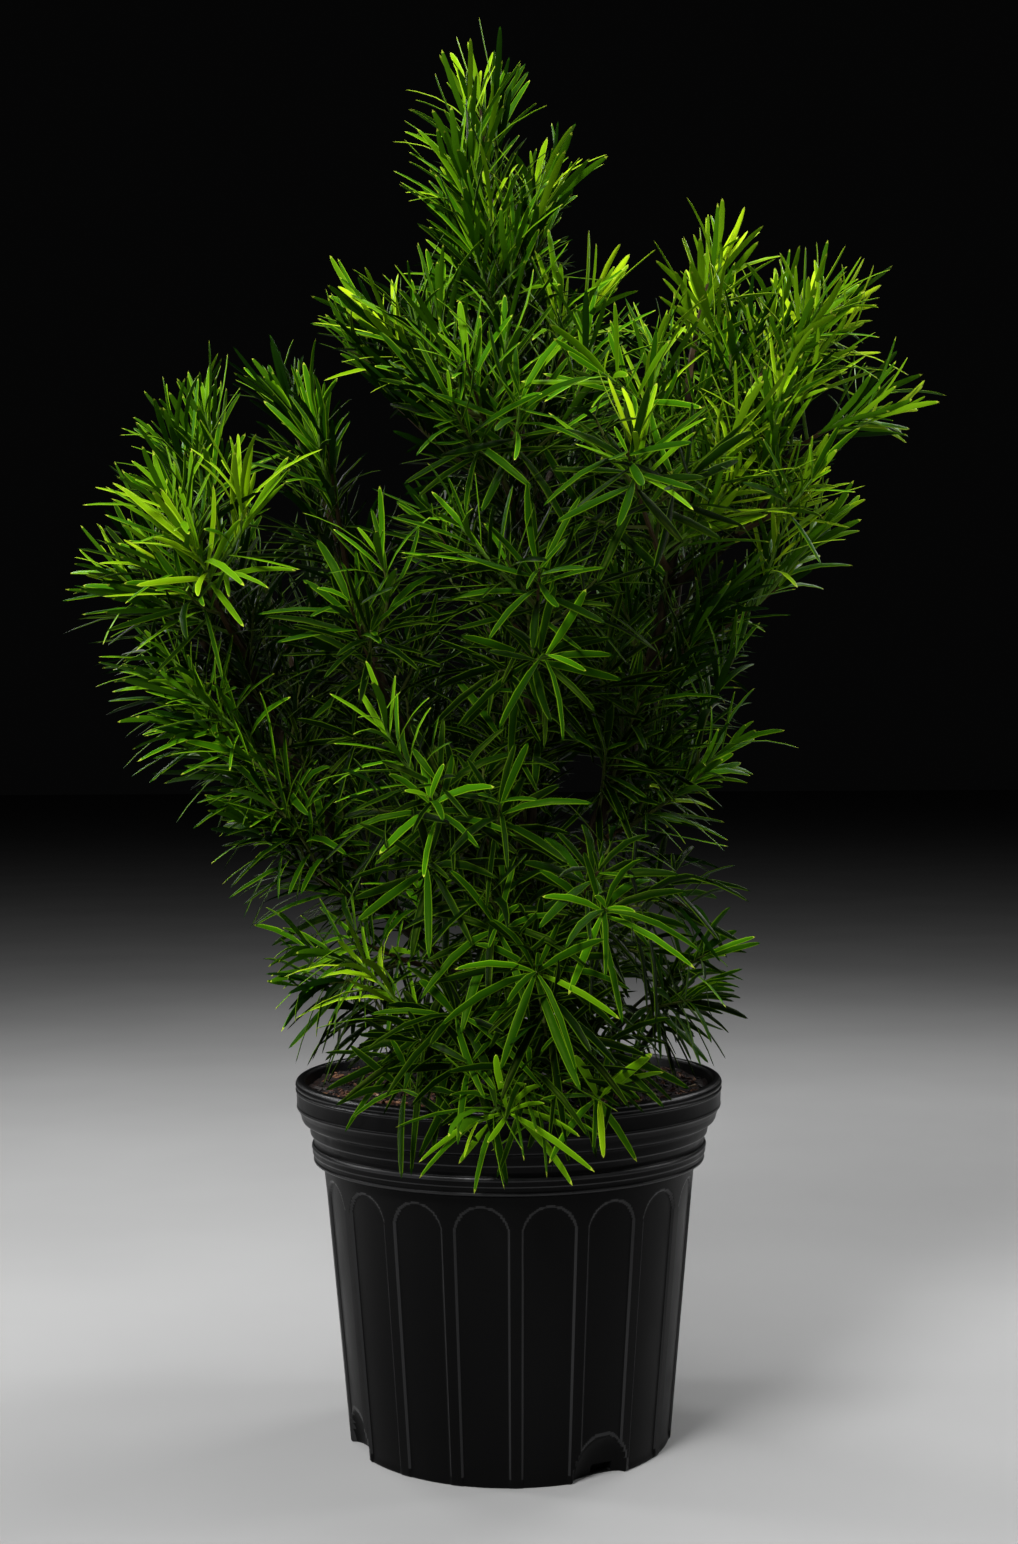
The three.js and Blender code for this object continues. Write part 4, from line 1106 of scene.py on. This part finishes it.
def leaf_faces(count, stations):
    """Faces of every leaf by part: blade, margins, underside, tip and foot."""
    size = 5 * stations + 1
    bases = size * np.arange(count)
    here = 5 * np.arange(stations - 1)

    def strip(side):
        after = (side + 1) % 5
        return np.stack([here + side, here + after, here + after + 5, here + side + 5], -1)

    last = 5 * (stations - 1)
    parts = {
        "blade": strip(1),
        "margin": np.concatenate([strip(0), strip(2)]),
        "underside": np.concatenate([strip(3), strip(4)]),
        "tip": np.array([[last + side, last + (side + 1) % 5, size - 1] for side in range(5)]),
        "foot": np.array([[4, 3, 2, 1, 0]]),
    }
    return {name: (part + bases[:, None, None]).reshape(-1, part.shape[1]) for name, part in parts.items()}


def make_leaves(region, leaves, materials, masses):
    """One joined piece of a region's leaves, in place of its masses."""
    leaves = np.array(leaves)
    form = FAR_LEAF if region in FAR_REGIONS else NEAR_LEAF
    tints = leaves[:, 14].astype(int)
    names = list(materials)
    undersides, margins = np.array([[names.index(name) for name in pair] for pair in TINTS.values()]).T
    numbers = {
        "blade": tints,
        "margin": margins[tints],
        "underside": undersides[tints],
        "tip": np.where(tints >= FIRST_PALE_TIP, names.index("tip"), tints),
        "foot": tints,
    }
    groups = []
    for part, faces in leaf_faces(len(leaves), len(form)).items():
        groups.append((faces, np.repeat(numbers[part], len(faces) // len(leaves))))
    points = leaf_points(leaves, form).reshape(-1, 3)
    materials = list(materials.values())
    piece = piece_from_arrays("leaves_" + region, points, groups, materials, sharp=55)
    if masses:
        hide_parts(*masses)


def tube(path, radii, sides, rings):
    """Points and faces of a closed tube along a path, its radii read from a function of share."""
    shares = np.linspace(0, 1, rings)
    centres = np.array([path.at(share) for share in shares])
    tangents = np.array([path.tangent(share) for share in shares])
    side = unit(np.cross(tangents[0], ASKEW))
    turns = np.linspace(0, 2 * math.pi, sides, endpoint=False)[:, None]
    rows = []
    for centre, tangent, radius in zip(centres, tangents, radii(shares)):
        side = unit(side - tangent * (side @ tangent))
        other = np.cross(tangent, side)
        rows.append(centre + radius * (np.cos(turns) * side + np.sin(turns) * other))
    points = np.concatenate([*rows, centres[:1], centres[-1:]])
    ring = np.arange(sides)
    triangles = np.concatenate([
        cap_faces(ring, len(points) - 2),
        cap_faces(ring + (rings - 1) * sides, len(points) - 1, outward=False),
    ])
    return points, grid_faces(rings, sides), triangles


def joined_tubes(name, tubes, numbers, materials, sharp=60):
    """One piece from tubes, each with its material's number."""
    points, groups, first = [], [], 0
    for (own_points, quads, triangles), number in zip(tubes, numbers):
        points.append(own_points)
        groups += [(quads + first, number), (triangles + first, number)]
        first += len(own_points)
    return piece_from_arrays(name, np.concatenate(points), groups, materials, sharp)


def bark_tube(path, radius, sides, spacing):
    """A limb's tube with lengthwise fissures and low swellings pressed into it."""
    rings = max(8, round(path.length / spacing))
    points, quads, triangles = tube(path, radius, sides, rings)
    rows = points[: rings * sides].reshape(rings, sides, 3)
    centres = rows.mean(1, keepdims=True)
    flat = rows.reshape(-1, 3)
    grain = sum(share * relief(flat, size, stretch) for share, size, stretch in BARK_RELIEFS)
    swelling = 1 + BARK_DEPTH * grain.reshape(rings, sides, 1)
    points[: rings * sides] = (centres + (rows - centres) * swelling).reshape(-1, 3)
    return points, quads, triangles


def make_limbs(limbs):
    bark = bark_material()
    trunk, trunk_radii = limbs["trunk"]
    piece = joined_tubes("trunk_bark", [bark_tube(trunk, trunk_radii, *TRUNK_MESH)], [0], [bark])
    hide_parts("trunk")
    names = [name for name in limbs if name != "trunk"]
    tubes = [bark_tube(*limbs[name], *BOUGH_MESH) for name in names]
    piece = joined_tubes("bough_bark", tubes, [0] * len(tubes), [bark])
    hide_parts(*names)


TWIG_COLOURS = {
    "twig_brown": (0.045, 0.028, 0.012),
    "twig_olive": (0.060, 0.078, 0.014),
    "twig_green": (0.085, 0.170, 0.018),
}


def make_twigs(twigs):
    materials = [twig_material(name, colour) for name, colour in TWIG_COLOURS.items()]
    tubes, numbers = [], []
    for path, foot, fresh_and_lit in twigs:
        rings = max(4, round(path.length / TWIG_RING_SPACING))
        tubes.append(tube(path, lambda share: lerp(foot, TWIG_TIP_RADIUS, share), TWIG_SIDES, rings))
        numbers.append(0 if foot > TWIG_RADIUS else 1 if fresh_and_lit < GREEN_TWIG else 2)
    joined_tubes("twigs", tubes, numbers, materials)


def make_foliage(limbs):
    """Grows every mass by the same rule as its solid, with finer twigs, and leafy sprigs on the limbs."""
    every_row = [row for rows in MASSES.values() for row in rows]
    stems = {name: stem_path(limbs[limb], height, bud) for name, limb, height, bud, *_ in every_row}
    seen = {}
    for region, rows in MASSES.items():
        own_room = Room(limbs, [stems[row[0]] for row in rows])
        shoots = SHOOTS.get(region, ())
        seen[region] = [(seen_path(own_room, *shoot[:4], shoot[5]), *shoot[4:]) for shoot in shoots]
    seen_paths = [(shoot[0], TWIG_RADIUS) for shoots in seen.values() for shoot in shoots]
    room = Room(limbs, [*stems.values(), *seen_paths])
    materials = {name: leaf_material("leaf_" + name, colour) for name, colour in LEAF_COLOURS.items()}
    twigs, seed = [], 0
    for region, rows in MASSES.items():
        foliage = Foliage(room)
        for name, _, _, (_, bud_depth, _), fresh_and_lit, spread in rows:
            seed += 1
            random = np.random.default_rng(seed)
            path, foot = stems[name]
            foliage.add_shoot(path, foot, fresh_and_lit, spread, random)
            spacing, length = lerp(*TWIG_SPACINGS, spread), lerp(*TWIG_LENGTHS, spread)
            if bud_depth < REAR_DEPTH:
                spacing *= lerp(*SEEN_SPACINGS, spread)
            foliage.add_twigs(path, spacing, length, fresh_and_lit - FILLER_PAINTED_SHADE, spread, random)
        random = np.random.default_rng(SHOOT_SEED + seed)
        for path, fresh_and_lit, spread in seen[region]:
            foliage.add_shoot(path, TWIG_RADIUS, fresh_and_lit, spread, random)
        make_leaves(region, foliage.leaves, materials, ["foliage_" + row[0] for row in rows])
        twigs += foliage.twigs
    inner = Foliage(room, INNER_FINENESS)
    for number, (name, (path, _)) in enumerate(limbs.items()):
        random = np.random.default_rng(SPRIG_SEED + number)
        stretch = (SPRIG_STARTS[name.split("_")[0]], SPRIG_END)
        # darkest tints as painted shade, lighter on the right boughs as painted backlight
        fresh_and_lit = SPRIG_FRESH_AND_LIT_RIGHT if name.startswith("bough_right") else SPRIG_FRESH_AND_LIT
        inner.add_twigs(path, SPRIG_SPACING, SPRIG_LENGTH, fresh_and_lit, SPRIG_SPREAD, random, stretch)
    make_leaves("inner", inner.leaves, materials, [])
    make_twigs(twigs + inner.twigs)


# Studio, in metres

FLOOR_HALF = 40.0


def make_floor():
    mesh = bpy.data.meshes.new("floor")
    corners = [(x * FLOOR_HALF, y * FLOOR_HALF, 0) for x, y in ((-1, -1), (1, -1), (1, 1), (-1, 1))]
    mesh.from_pydata(corners, [], [(0, 1, 2, 3)])
    material, tree, shader = principled("floor_paint", Roughness=0.85)
    colours = ((0.3, (0.29, 0.29, 0.29)), (0.7, (0.32, 0.32, 0.32)))
    set_colours(tree, shader, noise_node(tree, 2.5, 3), colours)
    mesh.materials.append(material)
    floor = add_object("floor", mesh)


# Name, place, width, height and power of each soft panel
LAMPS = (
    ("key", (-0.8, -1.5, 1.9), 0.6, 0.6, 74),
    ("fill", (1.7, -1.5, 1.5), 1.0, 1.0, 3),
    ("left_strip", (-1.35, 0.20, 0.95), 0.20, 0.9, 8),
    ("right_strip", (1.35, 0.20, 0.95), 0.20, 0.9, 5),
    ("rear_left", (-1.2, 1.2, 1.5), 0.6, 0.6, 12),
    ("rear_right", (1.2, 1.2, 1.6), 0.6, 0.6, 15),
    ("top", (0.3, 0.1, 2.1), 0.7, 0.7, 22),
)
LAMP_TARGET = Vector((0, 0, 0.50))


def make_lights():
    """Soft panels round the plant and a dim even world."""
    for name, place, width, height, power in LAMPS:
        light = bpy.data.lights.new(name, "AREA")
        light.shape = "RECTANGLE"
        light.size, light.size_y, light.energy = width, height, power
        lamp = add_object(name, light)
        lamp.location = place
        lamp.rotation_euler = (LAMP_TARGET - Vector(place)).to_track_quat("-Z", "Y").to_euler()
        lamp.visible_camera = False
    world = bpy.data.worlds.new("studio")
    world.use_nodes = True
    background = world.node_tree.nodes["Background"]
    background.inputs["Color"].default_value = (0.80, 0.81, 0.82, 1)
    background.inputs["Strength"].default_value = 0.002
    bpy.context.scene.world = world
    bpy.context.scene.view_settings.view_transform = "Standard"


def make_camera():
    camera = bpy.data.cameras.new("camera")
    camera.sensor_width = SENSOR
    camera.lens = FOCAL_PIXELS / max(PHOTO_SIZE) * SENSOR
    camera.clip_start = 0.05
    holder = add_object("camera", camera)
    holder.location = Vector(CAMERA_PLACE) * MM
    holder.rotation_euler = (math.pi / 2, CAMERA_ROLL, 0)
    bpy.context.scene.camera = holder


make_camera()
make_lights()
make_floor()
make_pot()
make_soil()
make_chips()
limbs = grow_limbs()
make_limbs(limbs)
make_foliage(limbs)
